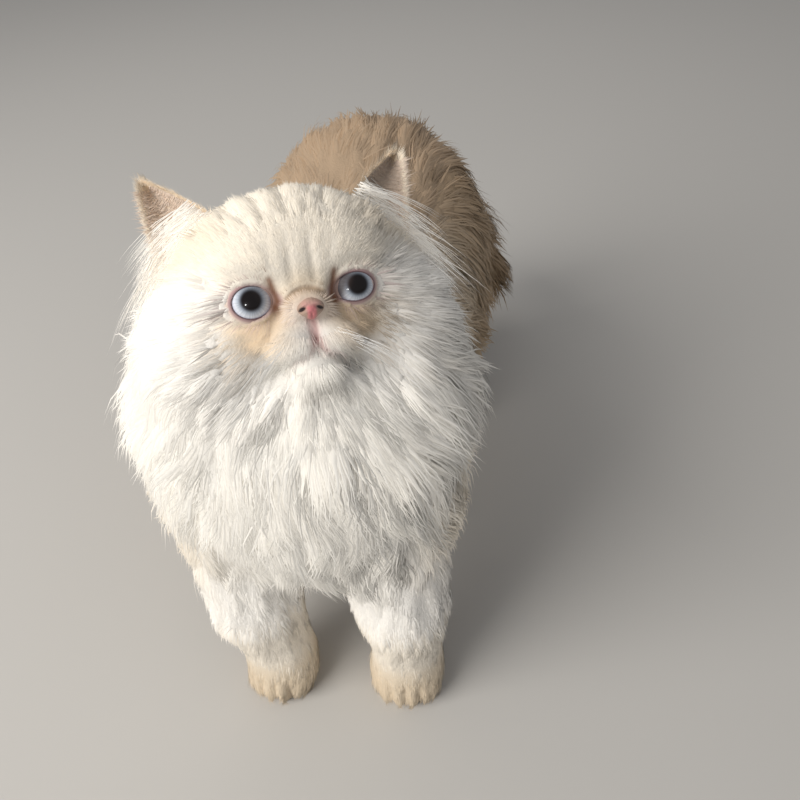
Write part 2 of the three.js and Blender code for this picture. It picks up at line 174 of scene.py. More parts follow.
def turned(spins: tuple[tuple[float, str], ...]) -> Matrix:
    """Rotation made of turns in degrees about named axes, one after the other.

    Args:
        spins: the angle and the axis of each turn.

    Returns:
        The whole rotation.
    """
    total = Matrix.Identity(3)
    for degrees, axis in spins:
        total = total @ Matrix.Rotation(math.radians(degrees), 3, axis)
    return total


def segment_distance(points: Array, start: Array, end: Array) -> Array:
    """Distance from points to the straight line between two ends.

    Args:
        points: places, one a row.
        start: one end.
        end: the other end.

    Returns:
        One distance a row.
    """
    along = end - start
    share = np.clip((points - start) @ along / (along @ along), 0.0, 1.0)
    return np.linalg.norm(points - start - share[..., None] * along, axis=-1)


@dataclass(frozen=True)
class HeadFrame:
    """The head's own axes: +X to the cat's left, -Y out of the face, +Z to the crown."""

    turn: float = 22.0
    lift: float = 28.0
    tilt: float = 4.0
    eye_depth: float = 11.0
    eye_half_span: float = 21.5

    def axes(self) -> Array:
        """Rotation from head axes to row axes, a turn about Z, then X, then Y."""
        return np.array(turned(((self.turn, "Z"), (-self.lift, "X"), (self.tilt, "Y"))))

    def origin(self) -> Array:
        """Point midway between the eyes, on the plane of their fronts."""
        middle = sum(np.add(*box_mm(f"eye_{side}")) for side in SIDES) / 4.0
        return middle - self.axes() @ np.array([0.0, self.eye_depth, 0.0])

    def into(self, points: Array) -> Array:
        """Row places as head places."""
        return (points - self.origin()) @ self.axes()

    def out(self, points: Array) -> Array:
        """Head places as row places."""
        return points @ self.axes().T + self.origin()

    def turn_out(self, vectors: Array) -> Array:
        """Head directions as row directions."""
        return vectors @ self.axes().T


HEAD = HeadFrame()
NOSE_TIP = np.array([0.6, -6.0, -5.0])


@dataclass(frozen=True)
class EyeShape:
    """The eyeball and the opening between the lids, in head places."""

    radius: float = 11.4
    half_width: float = 8.3
    upper: tuple[float, float] = (6.4, 6.9)
    lower: tuple[float, float] = (5.7, 6.6)
    corner_reach: float = 2.4
    corner_drop: float = 1.7

    def centre(self, side: float) -> Array:
        """Middle of the eyeball."""
        return np.array([side * HEAD.eye_half_span, HEAD.eye_depth, 0.0])

    def opening(self, side: float, angle: Array) -> tuple[Array, Array]:
        """Edge of the opening at an angle: an ellipse drawn out at its inner corner.

        Args:
            side: 1 for the cat's left eye and -1 for its right one.
            angle: 0 is away from the nose, and a quarter turn is up.

        Returns:
            Offsets across and up from the eye's axis.
        """
        corner = np.maximum(-np.cos(angle), 0.0) ** 7
        number = 0 if side > 0 else 1
        height = np.where(np.sin(angle) > 0, self.upper[number], self.lower[number])
        across = np.cos(angle) * self.half_width - corner * self.corner_reach
        up = np.sin(angle) * height - corner * self.corner_drop
        return side * across, up

    def reach(self, points: Array, side: float) -> Array:
        """Distance from the eye's axis as a share of the opening's own radius there.

        Args:
            points: head places.
            side: 1 for the cat's left eye and -1 for its right one.

        Returns:
            One share a row, 1 on the edge of the opening.
        """
        flat = points - self.centre(side)
        angle = np.arctan2(flat[..., 2] / self.upper[0], side * flat[..., 0] / self.half_width)
        across, up = self.opening(side, angle)
        return np.hypot(flat[..., 0], flat[..., 2]) / np.hypot(across, up)

    def nearest(self, points: Array) -> Array:
        """The lower of a place's two shares, that of the eye it is nearer to."""
        return np.minimum(self.reach(points, SIDES["left"]), self.reach(points, SIDES["right"]))


EYE = EyeShape()


@dataclass(frozen=True)
class Groove:
    """A crease or stain along a straight line: its greatest amount, its width and its two ends."""

    amount: float
    width: float
    start: Triple
    end: Triple

    def strength(self, flat: Array) -> Array:
        """1 on the line, falling off by its width."""
        return bell(segment_distance(flat, np.array(self.start), np.array(self.end)), self.width)


@dataclass(frozen=True)
class FaceForm:
    """The face below its short fur, as blended ellipsoids and grooves in head places.

    Each ellipsoid is a middle and its half axes. Those of a pair are given on the cat's left.
    """

    mouth: tuple[Triple, ...] = (
        (0.0, 0.0, -9.5), (0.0, 0.0, -18.5), (6.0, 0.0, -25.5), (13.5, 0.0, -33.5),
    )
    mouth_depth: float = 1.5
    mouth_width: float = 1.4
    mouth_ends: tuple[float, float] = (-36.0, -30.0)
    mouth_front: float = 22.0
    lean: float = 0.065
    shift: float = 0.4
    lean_width: float = 34.0
    skull: Ball = ((0, 50, -1), (61, 52, 47))
    crown: Ball = ((0, 24, 20), (38, 26, 24))
    cheek: Ball = ((37, 42, -18), (37, 36, 33))
    brow: Ball = ((20, 18, 15), (18, 17, 13))
    bridge: Ball = ((0, 8, -4), (13, 15, 9))
    chin: Ball = ((0, 8, -31), (14, 12, 10))
    pad: Ball = ((9, 5, -17), (13, 12, 10))
    hollow: Ball = ((22, -1, 0), (11.5, 5.4, 8.5))
    dome: Ball = ((0.0, 3.0, -3.6), (8.6, 8.9, 7.2))
    wing: Ball = ((5.4, 1.6, -6.2), (4.2, 6.0, 4.0))
    socket: Ball = ((21.5, 2.0, 0.2), (8.0, 13.0, 6.3))
    skull_softness: float = 12.0
    muzzle_softness: float = 5.0
    face_softness: float = 9.0
    hollow_softness: tuple[float, float] = (2.0, 6.0)
    dome_softness: float = 3.0
    wing_softness: float = 2.0
    socket_softness: float = 1.0
    mound_reach: float = 1.34
    mound_scale: float = 7.2
    mound_ahead: float = 0.4
    mound_radius: float = 2.3
    mound_softness: float = 4.0
    arch_heart: float = -5.0
    arch_radii: tuple[float, float] = (9.0, 7.8)
    arch_width: float = 0.16
    arch_foot: tuple[float, float] = (-2.0, 2.5)
    arch_front: float = 20.0
    arch_depth: float = 1.1
    fold_depth: float = 0.65
    inner_fold: tuple[float, float] = (4.6, 1.7)
    outer_fold: tuple[float, float] = (12.0, 2.4)
    outer_share: float = 0.5
    side_fold: Groove = Groove(1.2, 2.2, (12.0, 0.0, -5.0), (22.0, 0.0, -24.0))
    front: float = 24.0

    def upright(self, points: Array) -> Array:
        """Places with the muzzle's slant taken out: x moves by a share of the drop below the eyes.

        Args:
            points: head places.

        Returns:
            The places as they would be on an even muzzle.
        """
        moved = points.copy()
        slant = self.shift + self.lean * np.maximum(-points[..., 2], 0.0)
        moved[..., 0] -= slant * bell(points[..., 0], self.lean_width)
        return moved

    def line_distance(self, points: Array) -> Array:
        """Distance in the face's plane from the line of philtrum and mouth, both sides alike.

        Args:
            points: head places.

        Returns:
            One distance a row.
        """
        flat = self.upright(points) * np.array([1.0, 0.0, 1.0])
        flat[..., 0] = np.abs(flat[..., 0])
        ends = [np.array(end) for end in self.mouth]
        return np.min([segment_distance(flat, a, b) for a, b in zip(ends, ends[1:])], axis=0)

    def arch(self, points: Array) -> Array:
        """How near a place is to the crease that arches over the nose: a bell round half an ellipse.

        Args:
            points: head places.

        Returns:
            One share a row, from 0 to 1.
        """
        place = self.upright(points)
        x, z = place[..., 0], place[..., 2] - self.arch_heart
        ring = np.hypot(x / self.arch_radii[0], z / self.arch_radii[1])
        crease = bell(ring - 1.0, self.arch_width) * ramp(*self.arch_foot, z)
        return crease * (points[..., 1] < self.arch_front)

    def distances(self, points: Array, single: tuple[Ball, ...], paired: tuple[Ball, ...]) -> list[Array]:
        """Distances to single ellipsoids, then to the pairs, first left and then right.

        Args:
            points: head places.
            single: the ellipsoids in the middle.
            paired: the left one of each pair.

        Returns:
            One array for each ellipsoid.
        """
        values = [ellipsoid(points, *ball) for ball in single]
        for side in SIDES.values():
            values += [ellipsoid(points, (side * x, y, z), radii) for (x, y, z), radii in paired]
        return values

    def field(self, points: Array) -> Array:
        """Signed distance to the face's outline.

        Args:
            points: head places.

        Returns:
            One value a row, negative inside.
        """
        points = self.upright(points)
        skull = self.distances(points, (self.skull, self.crown), (self.cheek, self.brow))
        muzzle = self.distances(points, (self.bridge, self.chin), (self.pad,))
        head = [blend(skull, self.skull_softness), blend(muzzle, self.muzzle_softness)]
        hollows = self.distances(points, (), (self.hollow,))
        together, edge = self.hollow_softness
        return carve(blend(head, self.face_softness), blend(hollows, together), edge)

    def detail(self, points: Array, value: Array) -> Array:
        """Adds the nose bump, the mounds round the eyes, the folds, mouth and sockets to a field.

        Args:
            points: head places.
            value: the field there.

        Returns:
            The field with the details in it.
        """
        place = self.upright(points)
        x, y, z = np.abs(place[..., 0]), place[..., 1], place[..., 2]
        dome = ellipsoid(place, *self.dome)
        value = blend([value, dome], self.dome_softness)
        for side in SIDES.values():
            (across, out, up), radii = self.wing
            wing = ellipsoid(place, (side * across, out, up), radii)
            value = blend([value, wing], self.wing_softness)
            off_axis = np.hypot(points[..., 0] - side * HEAD.eye_half_span, points[..., 2])
            front = HEAD.eye_depth - np.sqrt(np.maximum(EYE.radius**2 - off_axis**2, 9.0))
            outwards = (EYE.reach(points, side) - self.mound_reach) * self.mound_scale
            mound = np.hypot(outwards, y - front - self.mound_ahead) - self.mound_radius
            value = blend([value, mound], self.mound_softness)
            (across, out, up), radii = self.socket
            socket = ellipsoid(points, (side * across, out, up), radii)
            value = carve(value, socket, self.socket_softness)
        (inner, inner_width), (outer, outer_width) = self.inner_fold, self.outer_fold
        folds = bell(x - inner, inner_width) * ramp(4.0, 8.0, z) * (1 - ramp(18.0, 28.0, z))
        second = self.outer_share * bell(x - outer, outer_width)
        folds += second * ramp(10.0, 14.0, z) * (1 - ramp(20.0, 30.0, z))
        value = value + self.fold_depth * folds * (y < self.front)
        mouth = bell(self.line_distance(points), self.mouth_width) * ramp(*self.mouth_ends, z)
        value = value + self.mouth_depth * mouth * (y < self.mouth_front)
        value = value + self.arch_depth * self.arch(points)
        flat = np.stack([x, 0 * x, z], -1)
        return value + self.side_fold.amount * self.side_fold.strength(flat) * (y < self.front)

    def settle(self, points: Array, depth: Array, rounds: int = 6) -> Array:
        """Moves places along the field's slope until they lie depth below the face's outline.

        Args:
            points: head places near the face.
            depth: how far below the outline each one goes, in millimetres.
            rounds: how many Newton steps.

        Returns:
            The moved places.
        """
        step, furthest, least_slope = 0.05, 2.0, 0.2
        moved = points.copy()
        for _ in range(rounds):
            value = self.detail(moved, self.field(moved) + depth)
            ahead = [moved + step * np.eye(3)[k] for k in range(3)]
            slope = np.stack([self.detail(p, self.field(p) + depth) for p in ahead], -1)
            slope = (slope - value[:, None]) / step
            size = np.maximum(np.sum(slope * slope, axis=-1), least_slope)
            push = value[:, None] * slope / size[:, None]
            far = np.maximum(np.linalg.norm(push, axis=-1, keepdims=True), TINY)
            moved = moved - push * np.minimum(1.0, furthest / far)
        return moved


FACE = FaceForm()


class Piece(Enum):
    """The coat's pieces, by where their locks grow."""

    FACE = "coat_face"
    HEAD = "coat_head"
    RUFF = "coat_ruff"
    NAPE = "coat_nape"
    BIB = "coat_bib"
    SHOULDER = "coat_shoulders"
    BACK = "coat_back"
    BELLY = "coat_belly"
    RUMP = "coat_rump"
    HAUNCH = "coat_haunches"
    TAIL = "coat_tail"
    LEG = "coat_legs"
    PAW = "coat_paws"


@dataclass(frozen=True)
class Zone:
    """What the coat does around one place; neighbouring zones melt into each other.

    Lengths are in millimetres, lift is the angle that a lock stands off the skin in degrees,
    and density is in locks a square centimetre. A zone with no flow lies away from the nose.
    """

    piece: Piece
    centre: Triple
    reach: Triple
    length: float
    lift: float
    width: float
    density: float
    colour: Triple
    flow: Triple | None = None
    on_head: bool = False
    paired: bool = False
    clump: float = 0.0
    wave: float = 0.0


WHITE = srgb(248, 244, 237)
PEARL = srgb(235, 231, 223)
CREAM = srgb(242, 233, 218)
IVORY = srgb(234, 222, 203)
SAND = srgb(216, 199, 174)
FAWN = srgb(196, 177, 152)
# the tan of the coat's points, made darker still as painted shade where the back, rump, haunches and tail
# lie further from the light and in shade
TAN_AND_PAINTED_SHADE = srgb(174, 151, 126)
DEEP_TAN_AND_PAINTED_SHADE = srgb(170, 146, 118)


def zone_table() -> list[Zone]:
    """Every zone of the coat, from the nose to the tail and down to the paws.

    Returns:
        The zones, in head places where on_head is set and in row places elsewhere.
    """
    head = {"on_head": True}
    pair = {"paired": True}
    both = {"on_head": True, "paired": True}
    return [
        Zone(Piece.FACE, (0, 0, -14), (15, 14, 9), 8.5, 12, 0.42, 280, WHITE, **head),
        Zone(Piece.FACE, (0, 4, -33), (14, 14, 9), 11.0, 13, 0.48, 200, PEARL, **head, clump=2.0),
        Zone(Piece.FACE, (0, 0, 3), (8, 9, 6), 2.6, 9.0, 0.33, 306, IVORY, **head),
        Zone(Piece.FACE, (20, 6, -14), (11, 12, 8), 7.5, 8.2, 0.38, 255, IVORY, **both),
        Zone(Piece.FACE, (0, 10, 18), (14, 14, 10), 6.0, 10.5, 0.4, 238, CREAM, **head, clump=3.0),
        Zone(Piece.FACE, (19, 8, 13), (12, 12, 8), 6.0, 9.8, 0.4, 238, CREAM, **both, clump=3.0),
        Zone(Piece.HEAD, (2, 6, -54), (22, 12, 9), 15.0, 20.0, 0.6, 150, PEARL, **head, clump=4.0),
        Zone(Piece.HEAD, (0, 24, 38), (26, 18, 14), 10.0, 10.4, 0.61, 120, CREAM, **head, clump=5.0),
        Zone(Piece.HEAD, (40, 30, 24), (16, 18, 14), 12.0, 10.4, 0.65, 104, IVORY, **both, clump=6.0),
        Zone(Piece.HEAD, (0, 60, 44), (40, 26, 20), 16.0, 9.8, 0.87, 56, IVORY, **head, clump=7.0),
        Zone(Piece.HEAD, (42, 26, -8), (18, 20, 18), 15.0, 9.1, 0.67, 115, WHITE, **both, clump=7.0),
        Zone(Piece.HEAD, (30, 20, -34), (18, 18, 14), 19.0, 9.1, 0.72, 125, WHITE,
             **both, clump=8.0, wave=0.8),
        Zone(Piece.RUFF, (78, -150, 215), (36, 45, 34), 32.0, 7.5, 1.15, 34, PEARL, (0.9, 0.5, -0.9),
             **pair,
             clump=12.0, wave=1.8),
        Zone(Piece.RUFF, (60, -195, 195), (34, 26, 30), 34.0, 7.0, 1.08, 37, PEARL, (0.45, -0.1, -1),
             **pair,
             clump=12.0, wave=2.0),
        Zone(Piece.NAPE, (0, -80, 238), (46, 34, 34), 28.0, 8.1, 1.24, 30, SAND, (0, 1, 0.05),
             clump=11.0, wave=1.2),
        Zone(Piece.BIB, (-6, -210, 195), (32, 20, 30), 34.0, 7.0, 1.05, 41, PEARL, (0, -0.1, -1),
             clump=12.0, wave=2.6),
        Zone(Piece.BIB, (-7, -205, 145), (48, 26, 40), 29.0, 7.5, 1.12, 39, PEARL, (0, -0.15, -1),
             clump=13.0, wave=3.0),
        Zone(Piece.SHOULDER, (76, -150, 140), (28, 46, 46), 26.0, 7.0, 1.21, 31, IVORY, (0.15, 0.5, -1),
             **pair,
             clump=12.0, wave=1.8),
        Zone(Piece.BACK, (0, -40, 246), (48, 46, 26), 28.0, 7.5, 1.32, 23, TAN_AND_PAINTED_SHADE, (0, 1, -0.05), clump=11.0),
        Zone(Piece.BACK, (78, -50, 165), (26, 46, 48), 30.0, 7.0, 1.36, 22, FAWN, (0.05, 0.9, -0.8), **pair,
             clump=12.0, wave=1.4),
        Zone(Piece.BELLY, (0, -40, 82), (70, 70, 26), 28.0, 7.0, 1.47, 16, SAND, (0, 0.7, -0.8),
             clump=11.0),
        Zone(Piece.RUMP, (3, 50, 256), (50, 50, 30), 30.0, 9.8, 1.2, 28, TAN_AND_PAINTED_SHADE, (0, 1, -0.15),
             clump=11.0, wave=1.0),
        Zone(Piece.RUMP, (4, 118, 190), (60, 26, 50), 34.0, 9.8, 1.27, 23, TAN_AND_PAINTED_SHADE, (0, 0.8, -0.8),
             clump=12.0, wave=1.4),
        Zone(Piece.HAUNCH, (78, 50, 160), (26, 60, 56), 32.0, 7.5, 1.43, 20, DEEP_TAN_AND_PAINTED_SHADE, (0.05, 0.7, -1),
             **pair,
             clump=12.0, wave=1.6),
        Zone(Piece.HAUNCH, (50, 100, 96), (40, 40, 32), 28.0, 7.0, 1.4, 20, SAND, (0, 0.45, -1),
             **pair, clump=10.0),
        Zone(Piece.TAIL, (8, 160, 176), (46, 34, 46), 40.0, 15.0, 1.42, 27, TAN_AND_PAINTED_SHADE, (0.25, 0.8, -0.8),
             clump=13.0, wave=2.0),
        Zone(Piece.TAIL, (52, 185, 92), (46, 40, 50), 42.0, 16.5, 1.42, 27, DEEP_TAN_AND_PAINTED_SHADE, (0.7, 0.1, -0.8),
             clump=13.0, wave=2.2),
        Zone(Piece.LEG, (42, -175, 96), (40, 38, 28), 13.0, 7.2, 0.9, 42, WHITE, (0, -0.05, -1), **pair,
             clump=8.0, wave=0.8),
        Zone(Piece.LEG, (40, -185, 48), (32, 32, 18), 10.5, 9, 0.75, 49, CREAM, (0, -0.05, -1),
             **pair, clump=5.0),
        Zone(Piece.LEG, (48, 65, 50), (34, 46, 20), 11.0, 9, 0.83, 36, SAND, (0, 0.15, -1),
             **pair, clump=5.0),
        Zone(Piece.PAW, (40, -196, 12), (32, 34, 16), 8.0, 12, 0.6, 70, SAND, (0, -0.7, -0.7),
             **pair, clump=3.0),
        Zone(Piece.PAW, (48, 56, 12), (34, 44, 16), 8.0, 12, 0.7, 54, SAND, (0, -0.5, -0.8),
             **pair, clump=3.0),
    ]


@dataclass
class CoatLook:
    """The coat's facts at many places, as arrays with one row a place."""

    length: Array
    lift: Array
    width: Array
    density: Array
    clump: Array
    wave: Array
    colour: Array
    flow: Array
    piece: Array


class CoatMap:
    """Blends the zones into facts that change smoothly over the cat."""

    fall: float = 1.4
    furthest: float = 60.0
    eye_width: float = 1.7
    eye_share: float = 1.6
    front: float = 20.0

    def __init__(self, zones: list[Zone]) -> None:
        """Splits each paired zone into a left and a right one.

        Args:
            zones: the coat's zones, paired ones as on the cat's left.
        """
        self.zones: list[Zone] = []
        self.centres: list[Array] = []
        self.flows: list[Array | None] = []
        for zone in zones:
            for side in (1.0, -1.0) if zone.paired else (1.0,):
                mirror = np.array([side, 1.0, 1.0])
                self.zones.append(zone)
                self.centres.append(np.array(zone.centre, float) * mirror)
                self.flows.append(None if zone.flow is None else np.array(zone.flow, float) * mirror)

    def look(self, points: Array) -> CoatLook:
        """The coat's facts: each zone weighs exp(-1.4 d^2), d its distance over its reach.

        Args:
            points: row places on the outline, in millimetres.

        Returns:
            The facts, blended by weight, and the piece of the heaviest zone.
        """
        on_head = HEAD.into(points)
        weights = []
        for zone, centre in zip(self.zones, self.centres):
            place = on_head if zone.on_head else points
            away = (place - centre) / np.array(zone.reach)
            squared = np.minimum(np.sum(away * away, axis=-1), self.furthest)
            weights.append(np.exp(-self.fall * squared) + 1e-30)
        weight = np.stack(weights, -1)
        weight /= weight.sum(axis=-1, keepdims=True)
        from_nose = HEAD.turn_out(unit(on_head - NOSE_TIP))
        flow = np.zeros_like(points)
        for k, lie in enumerate(self.flows):
            flow += weight[:, k:k + 1] * (from_nose if lie is None else unit(lie))
        for side in SIDES.values():
            away = on_head - EYE.centre(side)
            away[..., 1] = 0.0
            near = bell(EYE.reach(on_head, side), self.eye_width) * (on_head[..., 1] < self.front)
            flow += HEAD.turn_out(unit(away)) * near[:, None] * self.eye_share

        def mean(name: str) -> Array:
            """One of the zones' numbers, blended by weight."""
            return weight @ np.array([getattr(zone, name) for zone in self.zones], float)

        pieces = np.array([list(Piece).index(zone.piece) for zone in self.zones])
        numbers = [mean(name) for name in ("length", "lift", "width", "density", "clump", "wave")]
        colour = weight @ np.array([zone.colour for zone in self.zones])
        return CoatLook(*numbers, colour, unit(flow), pieces[weight.argmax(axis=-1)])


COAT = CoatMap(zone_table())


@dataclass(frozen=True)
class FaceMarks:
    """Tints of the bare and thin-haired places of the face, the same on skin and coat."""

    stain: Triple = srgb(120, 78, 52)
    track: Triple = srgb(205, 177, 142)
    lid: Triple = srgb(186, 160, 158)
    lip: Triple = srgb(186, 132, 130)
    bridge: Triple = srgb(208, 190, 164)
    arch: Triple = srgb(150, 124, 98)
    pink: Triple = srgb(214, 176, 164)
    track_line: Groove = Groove(0.5, 7.2, (13.0, 0.0, -6.0), (25.0, 0.0, -18.0))
    crease_line: Groove = Groove(0.85, 1.3, (13.4, 0.0, 8.4), (11.2, 0.0, -1.0))
    front: tuple[float, float] = (16.0, 26.0)

    def tint(self, points: Array, colour: Array) -> Array:
        """Mixes the marks into a colour.

        Args:
            points: row places, in millimetres.
            colour: the coat's own colour there.

        Returns:
            The colour with the marks in it.
        """
        place = HEAD.into(points)
        x, y, z = np.abs(place[..., 0]), place[..., 1], place[..., 2]
        front = 1.0 - ramp(*self.front, y)
        flat = np.stack([x, 0 * x, z], -1)
        upright = FACE.upright(place)
        middle, low = np.abs(upright[..., 0]), upright[..., 2]
        layers = (
            (self.bridge, 0.6 * bell(np.hypot(middle, low - 4.0), 7.5)),
            (self.pink, 0.5 * bell(np.hypot(middle * 0.8, low + 4.5), 6.0)),
            (self.arch, 0.75 * FACE.arch(place)),
            (self.track, self.track_line.amount * self.track_line.strength(flat)),
            (self.track, 0.5 * bell(np.hypot((x - 19.0) * 0.5, z + 10.0), 7.5)),
            (self.lid, 0.8 * (1 - ramp(1.04, 1.28, EYE.nearest(place)))),
            (self.stain, 1.0 * bell(np.hypot((x - 12.4) * 1.1, (z + 3.6) * 0.7), 2.4)),
            (self.stain, 0.45 * bell(np.hypot(x - 13.6, (z - 4.6) * 0.7), 2.8)),
            (self.stain, self.crease_line.amount * self.crease_line.strength(flat)),
            (self.lip, 0.85 * bell(FACE.line_distance(place), 2.0) * ramp(-30.0, -20.0, z)),
        )
        for mark, share in layers:
            share = (share * front)[:, None]
            colour = colour * (1 - share) + np.array(mark) * share
        return colour


MARKS = FaceMarks()


def link(mesh: bpy.types.Mesh, name: str) -> bpy.types.Object:
    """Puts a mesh in the scene.

    Args:
        mesh: the finished mesh.
        name: the name for it and its object.

    Returns:
        The new object, unturned at the origin.
    """
    mesh.name = name
    piece = bpy.data.objects.new(name, mesh)
    bpy.context.scene.collection.objects.link(piece)
    return piece


def mesh_of(name: str, points: Array, faces: Array) -> bpy.types.Mesh:
    """A mesh from whole arrays.

    Args:
        name: its name.
        points: places in millimetres, one a row.
        faces: vertex numbers, one face a row, all with the same number of corners.

    Returns:
        The mesh, in metres, with smooth faces.
    """
    mesh = bpy.data.meshes.new(name)
    count, corners = faces.shape
    mesh.vertices.add(len(points))
    mesh.vertices.foreach_set("co", (points * MM).astype(np.float32).ravel())
    mesh.loops.add(count * corners)
    mesh.loops.foreach_set("vertex_index", faces.astype(np.int32).ravel())
    mesh.polygons.add(count)
    mesh.polygons.foreach_set("loop_start", np.arange(0, count * corners, corners, dtype=np.int32))
    mesh.polygons.foreach_set("use_smooth", np.ones(count, bool))
    mesh.update(calc_edges=True)
    return mesh


def paint(mesh: bpy.types.Mesh, colour: Array) -> None:
    """Writes a linear colour for each vertex.

    Args:
        mesh: the mesh that takes it.
        colour: red, green and blue, one vertex a row.
    """
    attribute = mesh.attributes.new(COLOUR, "FLOAT_COLOR", "POINT")
    rgba = np.concatenate([np.clip(colour, 0, 1), np.ones((len(colour), 1))], axis=1)
    attribute.data.foreach_set("color", rgba.astype(np.float32).ravel())


def close_up(mesh: bpy.types.Mesh) -> None:
    """Merges doubled vertices, as at poles, and turns all faces outwards.

    Args:
        mesh: the closed mesh to mend.
    """
    bm = bmesh.new()
    bm.from_mesh(mesh)
    bmesh.ops.remove_doubles(bm, verts=bm.verts, dist=DOUBLES)
    bmesh.ops.recalc_face_normals(bm, faces=bm.faces)
    bm.to_mesh(mesh)
    bm.free()


def read(items: bpy.types.bpy_prop_collection, name: str, width: int, kind: type = np.float32) -> Array:
    """One fact of every item in a collection.

    Args:
        items: such as a mesh's vertices.
        name: the fact's name.
        width: how many numbers it has.
        kind: their type.

    Returns:
        The numbers, one item a row.
    """
    flat = np.empty(len(items) * width, kind)
    items.foreach_get(name, flat)
    return flat.reshape(-1, width)


def read_points(mesh: bpy.types.Mesh) -> Array:
    """The mesh's places, in millimetres."""
    return read(mesh.vertices, "co", 3).astype(float) / MM


def read_normals(mesh: bpy.types.Mesh) -> Array:
    """The mesh's vertex normals."""
    return read(mesh.vertex_normals, "vector", 3).astype(float)


def write_points(mesh: bpy.types.Mesh, points: Array) -> None:
    """Moves the mesh's vertices to places in millimetres."""
    mesh.vertices.foreach_set("co", (points * MM).astype(np.float32).ravel())
    mesh.update()


def grid_faces(rows: int, columns: int, closed: bool) -> Array:
    """Quads of a grid of vertices that are numbered row by row.

    Args:
        rows: how many rows the grid has.
        columns: how many vertices a row has.
        closed: whether each row's end is joined to its start.

    Returns:
        Four vertex numbers for each face.
    """
    last = columns if closed else columns - 1
    i, j = np.meshgrid(np.arange(rows - 1), np.arange(last), indexing="ij")
    right = (j + 1) % columns
    quads = [i * columns + j, i * columns + right, (i + 1) * columns + right, (i + 1) * columns + j]
    return np.stack(quads, -1).reshape(-1, 4)


EAR_BAND = 0.91
EAR_BAND_SIZE = np.array([0.08, 0.4])
EAR_BAND_FOOT = {1.0: 0.04, -1.0: 0.52}


def ear_chart(side: float, around: Array, up: Array) -> Array:
    """Bake places on an ear: once around both faces across the band, root to tip upwards."""
    return np.stack([around, up], -1) * EAR_BAND_SIZE + np.array([EAR_BAND, EAR_BAND_FOOT[side]])


@dataclass(frozen=True)
class CoatFinish:
    """Fur or skin that takes its colour from the piece's own attribute, with fine streaks."""

    name: str
    roughness: float = 0.55
    speckle: float = 0.06
    speckle_scale: float = 420.0
    speckle_detail: float = 3.0
    specular: float = 0.3
    bump: float = 0.0
    bump_height: float = 0.0006

    def material(self) -> bpy.types.Material:
        """The colour attribute times fine noise, and the same noise as bump; made only once.

        Returns:
            The node material.
        """
        ready = bpy.data.materials.get(self.name)
        if ready:
            return ready
        material = bpy.data.materials.new(self.name)
        material.use_nodes = True
        nodes, links = material.node_tree.nodes, material.node_tree.links
        shader = nodes["Principled BSDF"]
        shader.inputs["Roughness"].default_value = self.roughness
        shader.inputs["Specular IOR Level"].default_value = self.specular
        colour = nodes.new("ShaderNodeAttribute")
        colour.attribute_name = COLOUR
        place = nodes.new("ShaderNodeTexCoord")
        noise = nodes.new("ShaderNodeTexNoise")
        noise.inputs["Scale"].default_value = self.speckle_scale
        noise.inputs["Detail"].default_value = self.speckle_detail
        links.new(place.outputs["Object"], noise.inputs["Vector"])
        spread = nodes.new("ShaderNodeMapRange")
        spread.inputs["To Min"].default_value = 1.0 - self.speckle
        spread.inputs["To Max"].default_value = 1.0 + self.speckle
        links.new(noise.outputs["Fac"], spread.inputs["Value"])
        scale = nodes.new("ShaderNodeVectorMath")
        scale.operation = "SCALE"
        links.new(colour.outputs["Color"], scale.inputs[0])
        links.new(spread.outputs["Result"], scale.inputs["Scale"])
        links.new(scale.outputs["Vector"], shader.inputs["Base Color"])
        if self.bump:
            bump = nodes.new("ShaderNodeBump")
            bump.inputs["Strength"].default_value = self.bump
            bump.inputs["Distance"].default_value = self.bump_height
            links.new(noise.outputs["Fac"], bump.inputs["Height"])
            links.new(bump.outputs["Normal"], shader.inputs["Normal"])
        return material


@dataclass(frozen=True)
class WetFinish:
    """A moist surface in the piece's own colours, under a clear coat."""

    name: str
    roughness: float = 0.3
    coat: float = 1.0
    coat_roughness: float = 0.03
    gloss: float = 0.5
    grain: float = 0.0
    grain_scale: float = 900.0
    grain_height: float = 0.0003

    def material(self) -> bpy.types.Material:
        """The colour attribute below a clear coat, with small cells as bump where it has a grain.

        Returns:
            The node material.
        """
        material = bpy.data.materials.new(self.name)
        material.use_nodes = True
        nodes, links = material.node_tree.nodes, material.node_tree.links
        shader = nodes["Principled BSDF"]
        shader.inputs["Roughness"].default_value = self.roughness
        shader.inputs["Specular IOR Level"].default_value = self.gloss
        shader.inputs["Coat Weight"].default_value = self.coat
        shader.inputs["Coat Roughness"].default_value = self.coat_roughness
        colour = nodes.new("ShaderNodeAttribute")
        colour.attribute_name = COLOUR
        links.new(colour.outputs["Color"], shader.inputs["Base Color"])
        if self.grain:
            place = nodes.new("ShaderNodeTexCoord")
            cells = nodes.new("ShaderNodeTexVoronoi")
            cells.inputs["Scale"].default_value = self.grain_scale
            bump = nodes.new("ShaderNodeBump")
            bump.inputs["Strength"].default_value = self.grain
            bump.inputs["Distance"].default_value = self.grain_height
            links.new(place.outputs["Object"], cells.inputs["Vector"])
            links.new(cells.outputs["Distance"], bump.inputs["Height"])
            links.new(bump.outputs["Normal"], shader.inputs["Normal"])
        return material


FUR = CoatFinish("fur")
SKIN_FINISH = CoatFinish("skin", roughness=0.7, bump=0.5, speckle_scale=900.0)
EYE_FINISH = WetFinish("wet_eye", coat=0.6, gloss=0.1)
NOSE_FINISH = WetFinish("nose_leather", roughness=0.42, coat=0.35, coat_roughness=0.25, grain=0.5)
LID_FINISH = WetFinish("lid_rim", roughness=0.4, coat=0.5, coat_roughness=0.2)


